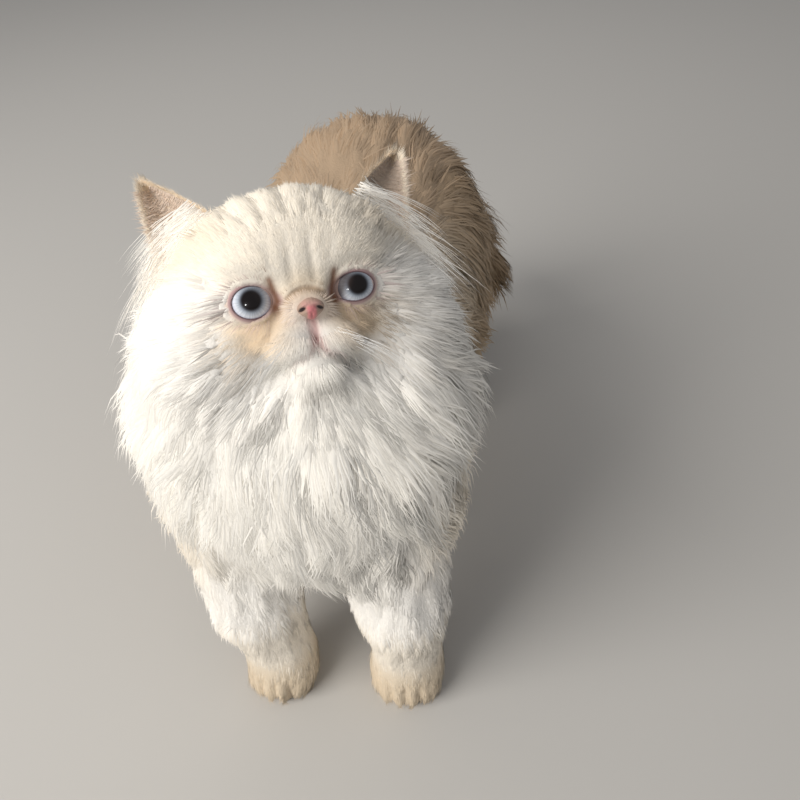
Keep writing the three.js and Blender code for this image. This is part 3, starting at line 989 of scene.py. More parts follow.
@dataclass
class Surface:
    """A finished skin to grow a coat on: triangles with their places, outline and bake map."""

    corners: Array
    outline: Array
    normals: Array
    bake: Array

    def areas(self) -> Array:
        """Area of each triangle, half of its edges' cross product, in square centimetres."""
        across = np.cross(self.corners[:, 1] - self.corners[:, 0], self.corners[:, 2] - self.corners[:, 0])
        return np.linalg.norm(across, axis=-1) / 200.0


@dataclass
class Roots:
    """Where locks grow: places on the skin, on the outline, normals and bake places."""

    place: Array
    outline: Array
    normal: Array
    bake: Array

    def chosen(self, keep: Array) -> "Roots":
        """The roots that a mask or a list of numbers picks."""
        return Roots(self.place[keep], self.outline[keep], self.normal[keep], self.bake[keep])


def scatter(surface: Surface, counts: Array, rng: np.random.Generator) -> Roots:
    """Random even roots: faces in their order take evenly spaced shares of the running count.

    Args:
        surface: the skin's triangles.
        counts: how many roots each triangle would hold.
        rng: the source of chance.

    Returns:
        The roots.
    """
    running = np.cumsum(counts)
    total = int(running[-1])
    wanted = (np.arange(total) + rng.random(total)) * running[-1] / total
    face = np.minimum(np.searchsorted(running, wanted), len(running) - 1)
    first, second = rng.random(total), rng.random(total)
    over = first + second > 1.0
    first[over], second[over] = 1 - first[over], 1 - second[over]
    share = np.stack([1 - first - second, first, second], -1)[:, :, None]

    def at(values: Array) -> Array:
        """Values of the corners, mixed to the root."""
        return np.sum(values[face] * share, axis=1)

    return Roots(at(surface.corners), at(surface.outline), unit(at(surface.normals)), at(surface.bake))


@dataclass
class Skin:
    """One closed skin in place of all nodes of flesh."""

    voxel: float = 3.7
    swell: float = 0.35
    smoothing: int = 5
    sole: float = 7.0
    face_low: Triple = (-42.0, -30.0, -46.0)
    face_high: Triple = (42.0, 30.0, 34.0)
    muzzle_low: Triple = (-19.0, -30.0, -37.0)
    muzzle_high: Triple = (19.0, 16.0, 6.0)
    paw_top: float = 26.0
    toe_pitch: float = 9.6
    toe_width: float = 1.6
    toe_depth: float = 2.6
    hind_share: float = 0.9
    coat_depth: float = 0.6
    least_depth: tuple[float, float] = (0.2, 0.8)
    eye_depth: float = 0.15
    face_edge: tuple[float, float] = (1.0, 9.0)
    shade: float = 0.97
    above_floor: float = 0.3
    fold_height: float = 0.15
    fold_stretch: float = 0.28
    folds: Array = field(default_factory=lambda: np.array([
        [0.34, 0.12, 0.20], [-0.15, 0.31, 0.18], [0.47, -0.22, -0.26], [0.21, 0.45, -0.30],
    ]))

    def closed(self) -> bpy.types.Mesh:
        """Copies of the nodes of flesh, eyes and nose, swollen over their cuts and remeshed as one.

        The copies swell along bmesh's own normals, which it gives one vertex at a time.

        Returns:
            One closed mesh.
        """
        bm = bmesh.new()
        for name in (*FLESH, "eye_left", "eye_right", "nose"):
            part = bmesh.new()
            part.from_mesh(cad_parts[name].data)
            bmesh.ops.remove_doubles(part, verts=part.verts, dist=DOUBLES)
            part.normal_update()
            for vertex in part.verts:
                vertex.co += vertex.normal * self.swell * MM
            spare = bpy.data.meshes.new("part")
            part.to_mesh(spare)
            bm.from_mesh(spare)
            part.free()
            bpy.data.meshes.remove(spare)
        mesh = bpy.data.meshes.new("joined")
        bm.to_mesh(mesh)
        bm.free()
        joined = link(mesh, "joined")
        remesh = joined.modifiers.new("close", "REMESH")
        remesh.mode = "VOXEL"
        remesh.voxel_size = self.voxel * MM
        bpy.context.view_layer.update()
        ready = joined.evaluated_get(bpy.context.evaluated_depsgraph_get())
        result = bpy.data.meshes.new_from_object(ready)
        bpy.data.objects.remove(joined)
        return result

    def refine(self, mesh: bpy.types.Mesh) -> None:
        """Halves the edges of the paws once, those of the face twice and of the muzzle three times.

        Args:
            mesh: the closed mesh.
        """
        for cuts_here in (self.on_face_or_paws, self.on_face, self.on_muzzle):
            bm = bmesh.new()
            bm.from_mesh(mesh)
            chosen = cuts_here(read_points(mesh))
            bm.verts.ensure_lookup_table()
            ends = ((edge, *edge.verts) for edge in bm.edges)
            edges = [edge for edge, a, b in ends if chosen[a.index] and chosen[b.index]]
            bmesh.ops.subdivide_edges(bm, edges=edges, cuts=1, use_grid_fill=True)
            bm.to_mesh(mesh)
            bm.free()

    def on_face(self, points: Array) -> Array:
        """Whether each place is in the face's box."""
        place = HEAD.into(points)
        return np.all((place > self.face_low) & (place < self.face_high), axis=-1)

    def on_muzzle(self, points: Array) -> Array:
        """Whether each place is near the nose and mouth."""
        place = HEAD.into(points)
        return np.all((place > self.muzzle_low) & (place < self.muzzle_high), axis=-1)

    def on_face_or_paws(self, points: Array) -> Array:
        """Whether each place is in the face's box or in a paw."""
        return self.on_face(points) | (points[:, 2] < self.paw_top)

    def relaxed(self, mesh: bpy.types.Mesh, points: Array, rounds: int) -> Array:
        """Places each moved halfway to the mean of their neighbours.

        Args:
            mesh: whose edges say which places are neighbours.
            points: the places.
            rounds: how many times over.

        Returns:
            The moved places.
        """
        first, second = read(mesh.edges, "vertices", 2, np.int32).T
        degree = np.bincount(first, minlength=len(points)) + np.bincount(second, minlength=len(points))
        for _ in range(rounds):
            total = np.zeros_like(points)
            for k in range(3):
                total[:, k] = np.bincount(first, points[second, k], len(points))
                total[:, k] += np.bincount(second, points[first, k], len(points))
            points = 0.5 * points + 0.5 * total / np.maximum(degree, 1)[:, None]
        return points

    def toes(self, points: Array) -> Array:
        """Depth of the grooves between the toes: a comb of bells across each paw's front.

        Args:
            points: row places.

        Returns:
            Depths in millimetres.
        """
        depth = np.zeros(len(points))
        for side in SIDES:
            for limb, pitch in (("forepaw", self.toe_pitch), ("hindpaw", self.toe_pitch * self.hind_share)):
                low, high = box_mm(f"{limb}_{side}")
                middle = (low + high) / 2
                across = points[:, 0] - middle[0]
                front = 1 - ramp(low[1] + 12, low[1] + 30, points[:, 1])
                here = (np.abs(points - middle) < (high - low) / 2 + 4).all(axis=-1)
                comb = sum(bell(across - k * pitch, self.toe_width) for k in (-1, 0, 1))
                depth += here * comb * front * self.toe_depth * (1 - ramp(18, self.paw_top, points[:, 2]))
        return depth

    def relief(self, points: Array, look: CoatLook) -> Array:
        """Height of the coat's soft folds: products of waves across the lie, slow along it.

        Args:
            points: row places.
            look: the coat's facts there.

        Returns:
            Heights in millimetres, greatest where the tufts are broadest.
        """
        hanging, stretch = np.abs(look.flow[:, 2:3]), self.fold_stretch
        down, back = np.array([1.0, 1.0, stretch]), np.array([1.0, stretch, 1.0])
        slow = points * (down * hanging + back * (1 - hanging))
        bent = slow + 5.0 * np.sin(slow[:, [2, 0, 1]] * 0.11) + 3.0 * np.sin(slow[:, [1, 2, 0]] * 0.19)
        waves = np.sin(bent @ self.folds.T)
        height = waves[:, 0] * waves[:, 1] + 0.6 * waves[:, 2] * waves[:, 3]
        return self.fold_height * look.clump * height

    def build(self) -> tuple[bpy.types.Object, Surface]:
        """Makes the skin: the closed form sunk by the coat's depth, with folds, toes and the face.

        Returns:
            The object, and its triangles for the coat to grow on.
        """
        mesh = self.closed()
        self.refine(mesh)
        points = self.relaxed(mesh, read_points(mesh), self.smoothing)
        write_points(mesh, points)
        normals = read_normals(mesh)
        look = COAT.look(points)
        outline = points + normals * self.relief(points, look)[:, None]
        on_sole, elsewhere = self.least_depth
        depth = self.coat_depth * look.length * np.sin(np.radians(look.lift)) + elsewhere
        depth = depth * ramp(-2.0, self.sole, outline[:, 2]) + on_sole
        place = HEAD.into(outline)
        inner = outline - normals * (depth + self.toes(outline))[:, None]
        edge = np.minimum(place - self.face_low, np.array(self.face_high) - place).min(axis=-1)
        share = ramp(*self.face_edge, edge)
        chosen = share > 0
        face_depth = depth * (self.eye_depth + (1 - self.eye_depth) * ramp(1.1, 2.0, EYE.nearest(place)))
        settled = HEAD.out(FACE.settle(HEAD.into(inner[chosen]), face_depth[chosen]))
        inner[chosen] += (settled - inner[chosen]) * share[chosen, None]
        inner = self.relaxed(mesh, inner, 1)
        inner[:, 2] = np.maximum(inner[:, 2], self.above_floor)
        mesh.polygons.foreach_set("use_smooth", np.ones(len(mesh.polygons), bool))
        write_points(mesh, inner)
        paint(mesh, MARKS.tint(inner, look.colour * self.shade))
        skin = link(mesh, "skin")
        self.unwrap(skin)
        skin.data.materials.append(SKIN_FINISH.material())
        return skin, self.surface(skin.data, outline)

    def unwrap(self, skin: bpy.types.Object) -> None:
        """Lays the skin alone out flat, in charts that don't overlap, left of the ears' band.

        Args:
            skin: the finished skin.
        """
        skin.data.uv_layers.new(name=BAKE_MAP)
        for other in bpy.context.selected_objects:
            other.select_set(False)
        bpy.context.view_layer.objects.active = skin
        skin.select_set(True)
        bpy.ops.object.mode_set(mode="EDIT")
        bpy.ops.mesh.select_all(action="SELECT")
        bpy.ops.uv.smart_project(angle_limit=math.radians(72), island_margin=0.002)
        bpy.ops.object.mode_set(mode="OBJECT")
        skin.select_set(False)
        layer = skin.data.uv_layers[BAKE_MAP].data
        flat = read(layer, "uv", 2)
        flat[:, 0] *= EAR_BAND - 0.01
        layer.foreach_set("uv", flat.ravel())

    def surface(self, mesh: bpy.types.Mesh, outline: Array) -> Surface:
        """The skin's triangles as arrays, in the order of the 12 mm cells that they lie in.

        Args:
            mesh: the finished skin.
            outline: each vertex's place before the skin was sunk.

        Returns:
            The triangles.
        """
        mesh.calc_loop_triangles()
        vertices = read(mesh.loop_triangles, "vertices", 3, np.int32)
        loops = read(mesh.loop_triangles, "loops", 3, np.int32)
        flat = read(mesh.uv_layers[BAKE_MAP].data, "uv", 2)
        corners = read_points(mesh)[vertices]
        cell = np.floor((corners.mean(axis=1) + 500.0) / 12.0).astype(int)
        order = np.lexsort((cell[:, 0], cell[:, 1], cell[:, 2]))
        return Surface(
            corners[order], outline[vertices][order], read_normals(mesh)[vertices][order],
            flat[loops].astype(float)[order],
        )


@dataclass
class LockMaker:
    """Turns roots and facts into closed tapered locks of three sides, with 10 to 46 faces each."""

    segments: int
    flatness: float = 0.25
    sunk: float = 0.8
    patch: float = 0.003
    floor: float = 0.35
    sleekness: float = 0.92
    wild: float = 0.03
    wild_lift: float = 2.2
    wild_length: float = 9.0
    stray_turn: float = 0.10
    wild_turn: float = 0.3
    stray_lift: float = 0.2
    tuft_length: tuple[float, float] = (0.88, 1.12)
    stray_length: float = 0.13
    length_limits: tuple[float, float] = (0.55, 1.4)
    end_lift: float = 0.15
    droop_length: float = 90.0
    most_droop: float = 0.45
    softness: float = 0.75
    pull: float = 0.22
    stray_pull: float = 0.18
    most_pull: float = 0.9
    raised: float = 0.07
    flat_below: float = 0.5
    roundness: float = 0.3
    tuft_stretch: float = 2.2
    taper: float = 1.7
    twist: float = 0.3
    # painted shade along each lock: darker at the root, where the coat above shades it, lighter towards the
    # tip
    painted_root_shade: float = 0.97
    painted_tip_brightening: float = 0.05
    stray_tone: float = 0.03
    swirl: float = 0.3
    swirl_length: float = 30.0
    swirl_near: Array = field(default_factory=lambda: np.array([0.071, 0.055, 0.083]))
    swirl_far: Array = field(default_factory=lambda: np.array([-0.043, 0.061, 0.037]))

    def triangles(self) -> int:
        """Faces of one lock."""
        return 6 * (self.segments - 1) + 4

    def pattern(self) -> Array:
        """Vertex numbers of one lock's faces: its foot, two for each side of each ring, and its tip.

        Returns:
            Three numbers a face, in an order that points it outwards.
        """
        ring = np.array([0, 1, 2])
        after = np.array([1, 2, 0])
        faces = [[0, 2, 1]]
        for k in range(self.segments - 1):
            low, high = 3 * k, 3 * k + 3
            faces += np.stack([low + ring, low + after, high + after], -1).tolist()
            faces += np.stack([low + ring, high + after, high + ring], -1).tolist()
        low, tip = 3 * (self.segments - 1), 3 * self.segments
        faces += np.stack([low + ring, low + after, np.full(3, tip)], -1).tolist()
        return np.array(faces)

    def lie(self, roots: Roots, look: CoatLook) -> Array:
        """The way the coat lies at each root: its flow laid onto the skin, turned by a slow swirl.

        Args:
            roots: where the locks grow.
            look: the coat's facts there.

        Returns:
            One direction a lock.
        """
        normal = roots.normal
        flow = unit(look.flow - normal * dot(look.flow, normal) * self.sleekness)
        side = unit(np.cross(flow, normal))
        swirl = np.sin(roots.place @ self.swirl_near + 1.3 * np.sin(roots.place @ self.swirl_far))
        strength = self.swirl * swirl * np.minimum(look.length / self.swirl_length, 1.0)
        return unit(flow + side * strength[:, None])

    def leads(self, roots: Roots, look: CoatLook, flow: Array, rng: np.random.Generator) -> Array:
        """The lock at the heart of each lock's tuft: the nearest of some chosen ones.

        Distance along the lie of the coat counts half, so that tufts are long and narrow.

        Args:
            roots: where the locks grow.
            look: the coat's facts there.
            flow: the lie of each lock.
            rng: the source of chance.

        Returns:
            The number of the leading lock, one for each lock.
        """
        count, batch = len(roots.place), 2000
        size = max(float(np.median(look.clump)), 1.5)
        crowd = float(np.median(look.density)) * size * size * self.tuft_stretch / 100.0
        heads = rng.choice(count, max(1, int(count / max(crowd, 3.0))), replace=False)
        owner = np.empty(count, int)
        for low in range(0, count, batch):
            rows = roots.place[low:low + batch, None] - roots.place[heads][None]
            ahead = np.einsum("ijk,jk->ij", rows, flow[heads])
            owner[low:low + batch] = np.argmin(np.sum(rows * rows, axis=-1) - 0.75 * ahead**2, axis=1)
        return heads[owner]

    def arcs(self, roots: Roots, flow: Array, lift: Array, length: Array, full: Array) -> Array:
        """Lines of even steps that leave the skin at their lift and bend over to lie along it.

        Args:
            roots: where the locks grow.
            flow: the lie of each lock.
            lift: its angle off the skin at the root, in radians, as a column.
            length: its length.
            full: the coat's full length there, which sets how far its end hangs.

        Returns:
            Places, one row a lock and one column a step.
        """
        count, steps, normal = len(length), self.segments, roots.normal
        start = flow * np.cos(lift) + normal * np.sin(lift)
        droop = DOWN * np.clip(full / self.droop_length, 0.0, self.most_droop)[:, None]
        end = unit(flow + normal * np.sin(lift) * self.end_lift + droop)
        middle = ((np.arange(steps) + 0.5) / steps)[None, :, None]
        heading = unit(start[:, None] * (1 - middle) + end[:, None] * middle)
        line = np.cumsum(heading, axis=1) * (length / steps)[:, None, None]
        line = np.concatenate([np.zeros((count, 1, 3)), line], axis=1)
        return line + (roots.place - normal * self.sunk)[:, None]

    def kept_in(self, line: Array, length: Array) -> Array:
        """Lines shortened where their tips would leave the coat's room, and kept off the floor.

        Args:
            line: places, one row a lock and one column a step.
            length: the length of each lock.

        Returns:
            The same lines, inside the room.
        """
        beyond = np.maximum(np.abs(line[:, -1] - ROOM_MIDDLE) - ROOM_HALF, 0.0).max(axis=-1)
        keep = (1.0 - 1.6 * beyond / length).clip(0.2, 1.0)[:, None, None]
        line = line[:, :1] + (line - line[:, :1]) * keep
        line[..., 2] = np.maximum(line[..., 2], self.floor)
        return line

    def curves(self, roots: Roots, look: CoatLook, rng: np.random.Generator) -> tuple[Array, Array]:
        """Middle lines: each lock bends down along its lie, draws in to its tuft's lead and waves.

        Args:
            roots: where the locks grow.
            look: the coat's facts there.
            rng: the source of chance.

        Returns:
            Places, one row a lock and one column a step, and the outward way of each lock, which
            leans away from the tuft's middle so that tufts shade as rounded.
        """
        count, steps, normal = len(roots.place), self.segments, roots.normal
        stray = rng.normal(0.0, 1.0, (count, 3))
        flow = self.lie(roots, look)
        side = unit(np.cross(flow, normal))
        lead = self.leads(roots, look, flow, rng)
        chance = rng.random((count, 3))[lead]
        wild = (rng.random(count) < self.wild) & (look.length > self.wild_length)
        turn = np.where(wild, self.wild_turn, self.stray_turn)[:, None]
        flow = unit(flow + side * stray[:, :1] * turn)
        raise_by = np.where(wild, self.wild_lift, 1.0)
        lift = np.radians(look.lift * (1.0 + self.stray_lift * stray[:, 1]) * raise_by)[:, None]
        least, most = self.tuft_length
        share = least + (most - least) * chance[:, 0] + self.stray_length * stray[:, 2]
        length = look.length * np.clip(share, *self.length_limits)
        line = self.arcs(roots, flow, lift, length, look.length)
        along = np.linspace(0.0, 1.0, steps + 1)[None, :, None]
        aside = line[lead] - line
        aside = aside - flow[:, None] * dot(aside, flow[:, None]) * 0.9
        pull = (self.pull + self.stray_pull * rng.normal(size=count)).clip(0.0, self.most_pull)
        pull = (pull * (look.clump > self.flat_below))[:, None, None]
        off_lead = np.sum((roots.place - roots.place[lead]) * side[lead], axis=-1)
        bow = np.clip(off_lead / np.maximum(look.clump * 0.5, 1.0), -1.2, 1.2)[:, None]
        spread = rng.normal(0.0, 0.5, (count, 1, 3)) * np.sqrt(look.width)[:, None, None] * along
        dome = (self.raised * look.clump[:, None] * (1 - 0.7 * bow**2))[:, None]
        line = line + aside * pull * along**1.3 + spread + normal[:, None] * dome * np.sin(2.6 * along)
        turns, phase = 0.6 + 0.5 * chance[:, 1, None, None], chance[:, 2, None, None]
        swing = np.sin(2 * np.pi * (along * turns + phase)) - np.sin(2 * np.pi * phase)
        line = line + side[:, None] * swing * look.wave[:, None, None] * along**0.6
        outward = unit(normal + side * bow * self.roundness * (look.clump[:, None] > self.flat_below))
        return self.kept_in(line, length), outward

    def build(
        self, name: str, line: Array, normal: Array, width: Array, colour: Array, bake: Array,
        rng: np.random.Generator,
    ) -> bpy.types.Object:
        """One piece of the coat: a flattened triangle carried along each line, down to a point.

        Args:
            name: the piece's name.
            line: middle lines of the locks.
            normal: the skin's normal under each.
            width: width at the root.
            colour: linear colour of each lock.
            bake: each root's place on the skin's bake map.
            rng: the source of chance.

        Returns:
            The piece.
        """
        count, steps = len(line), self.segments
        heading = unit(np.gradient(line, axis=1))[:, :steps]
        side = unit(np.cross(heading, normal[:, None]))
        up = np.cross(heading, side)
        along = np.arange(steps) / steps
        half = 0.5 * width[:, None] * (1.0 - along**self.taper)[None]
        spin = rng.uniform(-self.twist, self.twist, count)[:, None]
        angle = np.array([0.0, 2.0, 4.0]) * np.pi / 3.0 + np.pi * 7.0 / 6.0
        across = np.cos(angle)[None, None, :] * half[:, :, None] * 1.15
        high = np.sin(angle)[None, None, :] * half[:, :, None] * self.flatness
        cos, sin = np.cos(spin)[:, :, None], np.sin(spin)[:, :, None]
        ring = (
            line[:, :steps, None]
            + side[:, :, None] * (across * cos - high * sin)[..., None]
            + up[:, :, None] * (across * sin + high * cos)[..., None]
        )
        points = np.concatenate([ring.reshape(count, -1, 3), line[:, steps:]], axis=1)
        each = 3 * steps + 1
        faces = (np.arange(count)[:, None, None] * each + self.pattern()[None]).reshape(-1, 3)
        mesh = mesh_of(name, points.reshape(-1, 3), faces)
        self.soften(mesh, heading, normal)
        share = np.concatenate([np.repeat(along, 3), [1.0]])
        # painted shade: darker towards the root, lighter towards the tip
        tone = self.painted_root_shade + self.painted_tip_brightening * share[None, :] ** 0.7
        shade = (1.0 + self.stray_tone * rng.normal(size=count))[:, None]
        paint(mesh, (colour[:, None] * (tone * shade)[..., None]).reshape(-1, 3))
        corner = np.concatenate([np.tile([0.0, 0.5, 1.0], steps), [0.5]])
        patch = bake[:, None] + np.stack([corner, share], -1)[None] * self.patch
        layer = mesh.uv_layers.new(name=BAKE_MAP)
        layer.data.foreach_set("uv", patch.reshape(-1, 2)[faces.ravel()].astype(np.float32).ravel())
        mesh.materials.append(FUR.material())
        return link(mesh, name)

    def soften(self, mesh: bpy.types.Mesh, heading: Array, normal: Array) -> None:
        """Leans the shading normals to the skin's, less its part along the lock, as fur shades.

        Args:
            mesh: the piece.
            heading: direction of each lock at each step.
            normal: the skin's normal under each lock.
        """
        base = normal[:, None] - 0.75 * heading * dot(heading, normal[:, None])
        base = np.concatenate([np.repeat(unit(base), 3, axis=1), unit(base[:, -1:])], axis=1)
        mixed = unit(base.reshape(-1, 3) * self.softness + read_normals(mesh) * (1.0 - self.softness))
        mesh.normals_split_custom_set_from_vertices(mixed.astype(np.float32))


@dataclass
class Coat:
    """All locks that grow on the skin, in pieces. They cast no shadow, as fine fur lets light by."""

    surface: Surface
    amount: float = 1.0
    under_share: float = 0.35
    under_width: float = 2.4
    face_heart: Triple = (0.0, 28.0, -12.0)
    steps: dict[Piece, int] = field(default_factory=lambda: {
        Piece.FACE: 2, Piece.HEAD: 2, Piece.PAW: 2, Piece.LEG: 2,
    })
    long_steps: int = 3
    softness: dict[Piece, float] = field(default_factory=lambda: {
        Piece.TAIL: 0.4, Piece.PAW: 0.6, Piece.FACE: 0.6,
    })
    under_lift: float = 0.55
    under_length: float = 0.8
    under_clump: float = 4.0
    stray_width: float = 0.18
    slots: dict[Piece, str] = field(default_factory=lambda: {
        Piece.PAW: "coat_warm", Piece.RUMP: "coat_warm", Piece.HAUNCH: "coat_warm", Piece.TAIL: "coat_tan",
    })

    def bare(self, roots: Roots) -> Array:
        """Whether a root lies where no hair grows: in the eyes, on nose leather, lips or soles.

        Args:
            roots: where locks would grow.

        Returns:
            One truth a root.
        """
        place = HEAD.into(roots.place)
        front = place[:, 1] < 16
        eye = EYE.nearest(place) < 1.12
        nose = np.hypot((place[:, 0] - 1.0) / 4.6, (place[:, 2] + 5.2) / 4.4) < 1.0
        lips = (FACE.line_distance(place) < 1.1 + 0.8 * (place[:, 2] < -20)) & (place[:, 2] > -37)
        sole = (roots.place[:, 2] < 4.0) & (roots.normal[:, 2] < -0.4)
        return front & (eye | nose | lips) | sole

    def build(self) -> list[bpy.types.Object]:
        """Scatters the roots over the skin, then grows piece after piece.

        Returns:
            The coat's pieces.
        """
        rng = np.random.default_rng(SEED)
        middle = self.surface.outline.mean(axis=1)
        counts = self.surface.areas() * COAT.look(middle).density * self.amount
        roots = scatter(self.surface, counts, rng)
        roots = roots.chosen(~self.bare(roots))
        look = COAT.look(roots.outline)
        made = []
        for number, piece in enumerate(Piece):
            softness = self.softness.get(piece, LockMaker.softness)
            maker = LockMaker(self.steps.get(piece, self.long_steps), softness=softness)
            mine = np.flatnonzero(look.piece == number)
            limit = TRIANGLE_LIMIT // maker.triangles()
            if len(mine) > limit:
                log.info("%s has %d locks, and keeps %d", piece.value, len(mine), limit)
                mine = np.sort(rng.choice(mine, limit, replace=False))
            here = CoatLook(*(getattr(look, name)[mine] for name in CoatLook.__dataclass_fields__))
            under = (rng.random(len(mine)) < self.under_share) & (here.clump > self.under_clump)
            here.lift[under] *= self.under_lift
            here.length[under] *= self.under_length
            grown = roots.chosen(mine)
            line, outward = maker.curves(grown, here, rng)
            if piece is Piece.FACE:
                round_face = HEAD.turn_out(unit(HEAD.into(grown.place) - self.face_heart))
                outward = unit(outward + round_face)
            width = here.width * (1.0 + self.stray_width * rng.normal(size=len(mine))).clip(0.5, 1.6)
            width[under] *= self.under_width
            colour = MARKS.tint(grown.place, here.colour)
            made.append(maker.build(piece.value, line, outward, width, colour, grown.bake, rng))
            made[-1].visible_shadow = False
            log.info("%s: %d locks, %d triangles", piece.value, len(mine), len(made[-1].data.polygons))
        return made


@dataclass(frozen=True)
class EarHair:
    """One kind of hair on an ear: where it grows, how long it is and which way it lies."""

    count: int
    across: tuple[float, float]
    up: tuple[float, float]
    layer: float
    length: float
    width: float
    outward: float
    rising: float
    standing: float
    colour: Triple
    groups: int = 0
    droop: float = 0.0


@dataclass
class Ears:
    """Cupped blades of skin, with velvet on both faces and long fringes in front."""

    height: float = 37.0
    half_width: float = 16.0
    cup: float = 9.0
    wall: float = 2.0
    columns: int = 25
    rows: int = 22
    splay: float = 34.0
    turn: float = 26.0
    pitch: float = -4.0
    root: Triple = (40.0, 37.0, 23.0)
    narrowing: float = 1.6
    roundness: float = 0.75
    edge: float = 0.7
    tip_way: float = 0.85
    stray: float = 0.13
    warm: Triple = srgb(216, 199, 176)
    pink: Triple = srgb(208, 184, 172)
    velvet: tuple[EarHair, ...] = (
        EarHair(1500, (-1, 1), (0.0, 0.98), 1.0, 7.0, 0.55, 0.1, 1.0, 0.12, srgb(226, 211, 190)),
        EarHair(2000, (-0.98, 0.98), (0.0, 0.95), 0.0, 6.5, 0.55, 1.0, 0.1, 0.12, srgb(214, 196, 180)),
        EarHair(500, (-1, -0.96), (0.05, 1.0), 0.5, 4.5, 0.4, -0.5, 1.0, 0.1, srgb(224, 207, 184)),
        EarHair(500, (0.96, 1), (0.05, 1.0), 0.5, 5.5, 0.4, 0.8, 0.7, 0.1, srgb(232, 220, 202)),
    )
    fringe: tuple[EarHair, ...] = (
        EarHair(640, (-1.0, 0.0), (0.0, 0.4), 0.0, 29.0, 0.42, 1.0, 0.15, 0.4, WHITE,
                groups=88, droop=0.010),
        EarHair(330, (0.1, 1.0), (0.0, 0.22), 0.0, 32.0, 0.42, 1.0, -0.4, 0.2, WHITE,
                groups=44, droop=0.008),
        EarHair(300, (0.2, 1.0), (0.0, 0.35), 0.0, 21.0, 0.42, 0.9, -0.3, 0.3, WHITE,
                groups=44, droop=0.012),
    )

    def blade(self, side: float, across: Array, up: Array, layer: Array) -> Array:
        """Place on the ear: a narrowing width, a cup across it and a thin wall.

        Args:
            side: 1 for the cat's left ear and -1 for its right one.
            across: -1 to 1 over the width.
            up: 0 at the root to 1 at the tip.
            layer: 0 on the inner face and 1 on the outer one.

        Returns:
            Head places.
        """
        taper = np.maximum(1 - up**self.narrowing, 0) ** self.roundness
        half = self.half_width * taper * (1 - 0.3 * up) + self.edge
        cup = self.cup * (1 - across**2) * (1 - 0.55 * up) + 0.8
        wall = self.wall * (1 - 0.5 * up) * (1.02 - across**2 * 0.75)
        flat = np.stack([across * half, cup + layer * wall, up * self.height], -1)
        turn = turned(((side * self.turn, "Z"), (self.pitch, "X"), (side * self.splay, "Y")))
        return flat @ np.array(turn).T + np.array(self.root) * np.array([side, 1, 1])

    def shell(self, side: float) -> tuple[Array, Array]:
        """One ear: a loop over both faces, carried from root to tip and closed at its ends.

        Args:
            side: 1 for the cat's left ear and -1 for its right one.

        Returns:
            Row places and the faces' vertex numbers.
        """
        across = np.linspace(-1, 1, self.columns)
        loop = np.concatenate([across, across[::-1]])
        layer = np.concatenate([np.zeros(self.columns), np.ones(self.columns)])
        up = np.linspace(0, 1, self.rows)
        grid = self.blade(side, *np.broadcast_arrays(loop[None], up[:, None], layer[None]))
        points = HEAD.out(grid.reshape(-1, 3))
        width = 2 * self.columns
        faces = grid_faces(self.rows, width, closed=True)
        i = np.arange(self.columns - 1)
        foot = np.stack([i, width - 1 - i, width - 2 - i, i + 1], -1)
        top = (self.rows - 1) * width + foot[:, ::-1]
        return points, np.concatenate([faces, foot, top])

    def chart(self, mesh: bpy.types.Mesh, side: float) -> None:
        """Gives the ear its bake map: each quad at its place around and up, the ends as slivers.

        Args:
            mesh: the ear's own mesh.
            side: 1 for the cat's left ear and -1 for its right one.
        """
        width, last = 2 * self.columns, self.rows - 1
        i, j = np.meshgrid(np.arange(last), np.arange(width), indexing="ij")
        around = np.stack([j, j + 1, j + 1, j], -1).reshape(-1) / width
        up = np.stack([i, i, i + 1, i + 1], -1).reshape(-1) / last
        k = np.arange(self.columns - 1)
        end = np.stack([k, k, k + 1, k + 1], -1).reshape(-1) / self.columns
        sliver = np.tile([0.0, 0.02, 0.02, 0.0], self.columns - 1)
        foot, top = ear_chart(side, end, sliver - 0.05), ear_chart(side, end, sliver + 1.03)
        flat = np.concatenate([ear_chart(side, around, up), foot, top])
        mesh.uv_layers.new(name=BAKE_MAP).data.foreach_set("uv", flat.astype(np.float32).ravel())

    def hairs(self, side: float, kind: EarHair, steps: int, rng: np.random.Generator) -> tuple[Array, ...]:
        """Lines, normals, widths and colours of one kind of hair on one ear.

        Args:
            side: 1 for the cat's left ear and -1 for its right one.
            kind: where and how the hair grows.
            steps: how many segments a line has.
            rng: the source of chance.

        Returns:
            Lines and normals in row places, then widths, colours and bake places.
        """
        count = kind.count
        across, up = rng.uniform(*kind.across, count), rng.uniform(*kind.up, count) ** 0.9
        stray = rng.normal(0, 1, (count, 3))
        if kind.groups:
            group = rng.integers(0, kind.groups, count)
            across = across[group] + 0.12 * stray[:, 0]
            up = np.clip(up[group] + 0.06 * stray[:, 1], 0.0, 0.9)
        layer = np.full(count, kind.layer)
        here = self.blade(side, across * side, up, layer)
        low = np.minimum(up, self.tip_way)
        base = self.blade(side, across * side, low, layer)
        wide_way = unit(self.blade(side, across * side + 0.02, low, layer) - base)
        rise_way = unit(self.blade(side, across * side, low + 0.02, layer) - base)
        normal = unit(np.cross(wide_way, rise_way))
        facing = 1.0 if kind.layer == 1.0 else -1.0
        normal *= np.sign(normal[:, 1:2] * facing)
        if kind.groups:
            wide_way, rise_way, normal = wide_way[group], rise_way[group], normal[group]
        heading = unit(wide_way * side * kind.outward + rise_way * kind.rising + normal * kind.standing)
        heading = unit(heading + (0.12 if kind.groups else self.stray) * stray)
        along = np.linspace(0, 1, steps + 1)[None, :, None]
        size = (kind.length * (1 + 0.2 * stray[:, 2]).clip(0.5, 1.5))[:, None, None]
        line = here[:, None] + heading[:, None] * along * size
        line = HEAD.out(line.reshape(-1, 3)).reshape(line.shape)
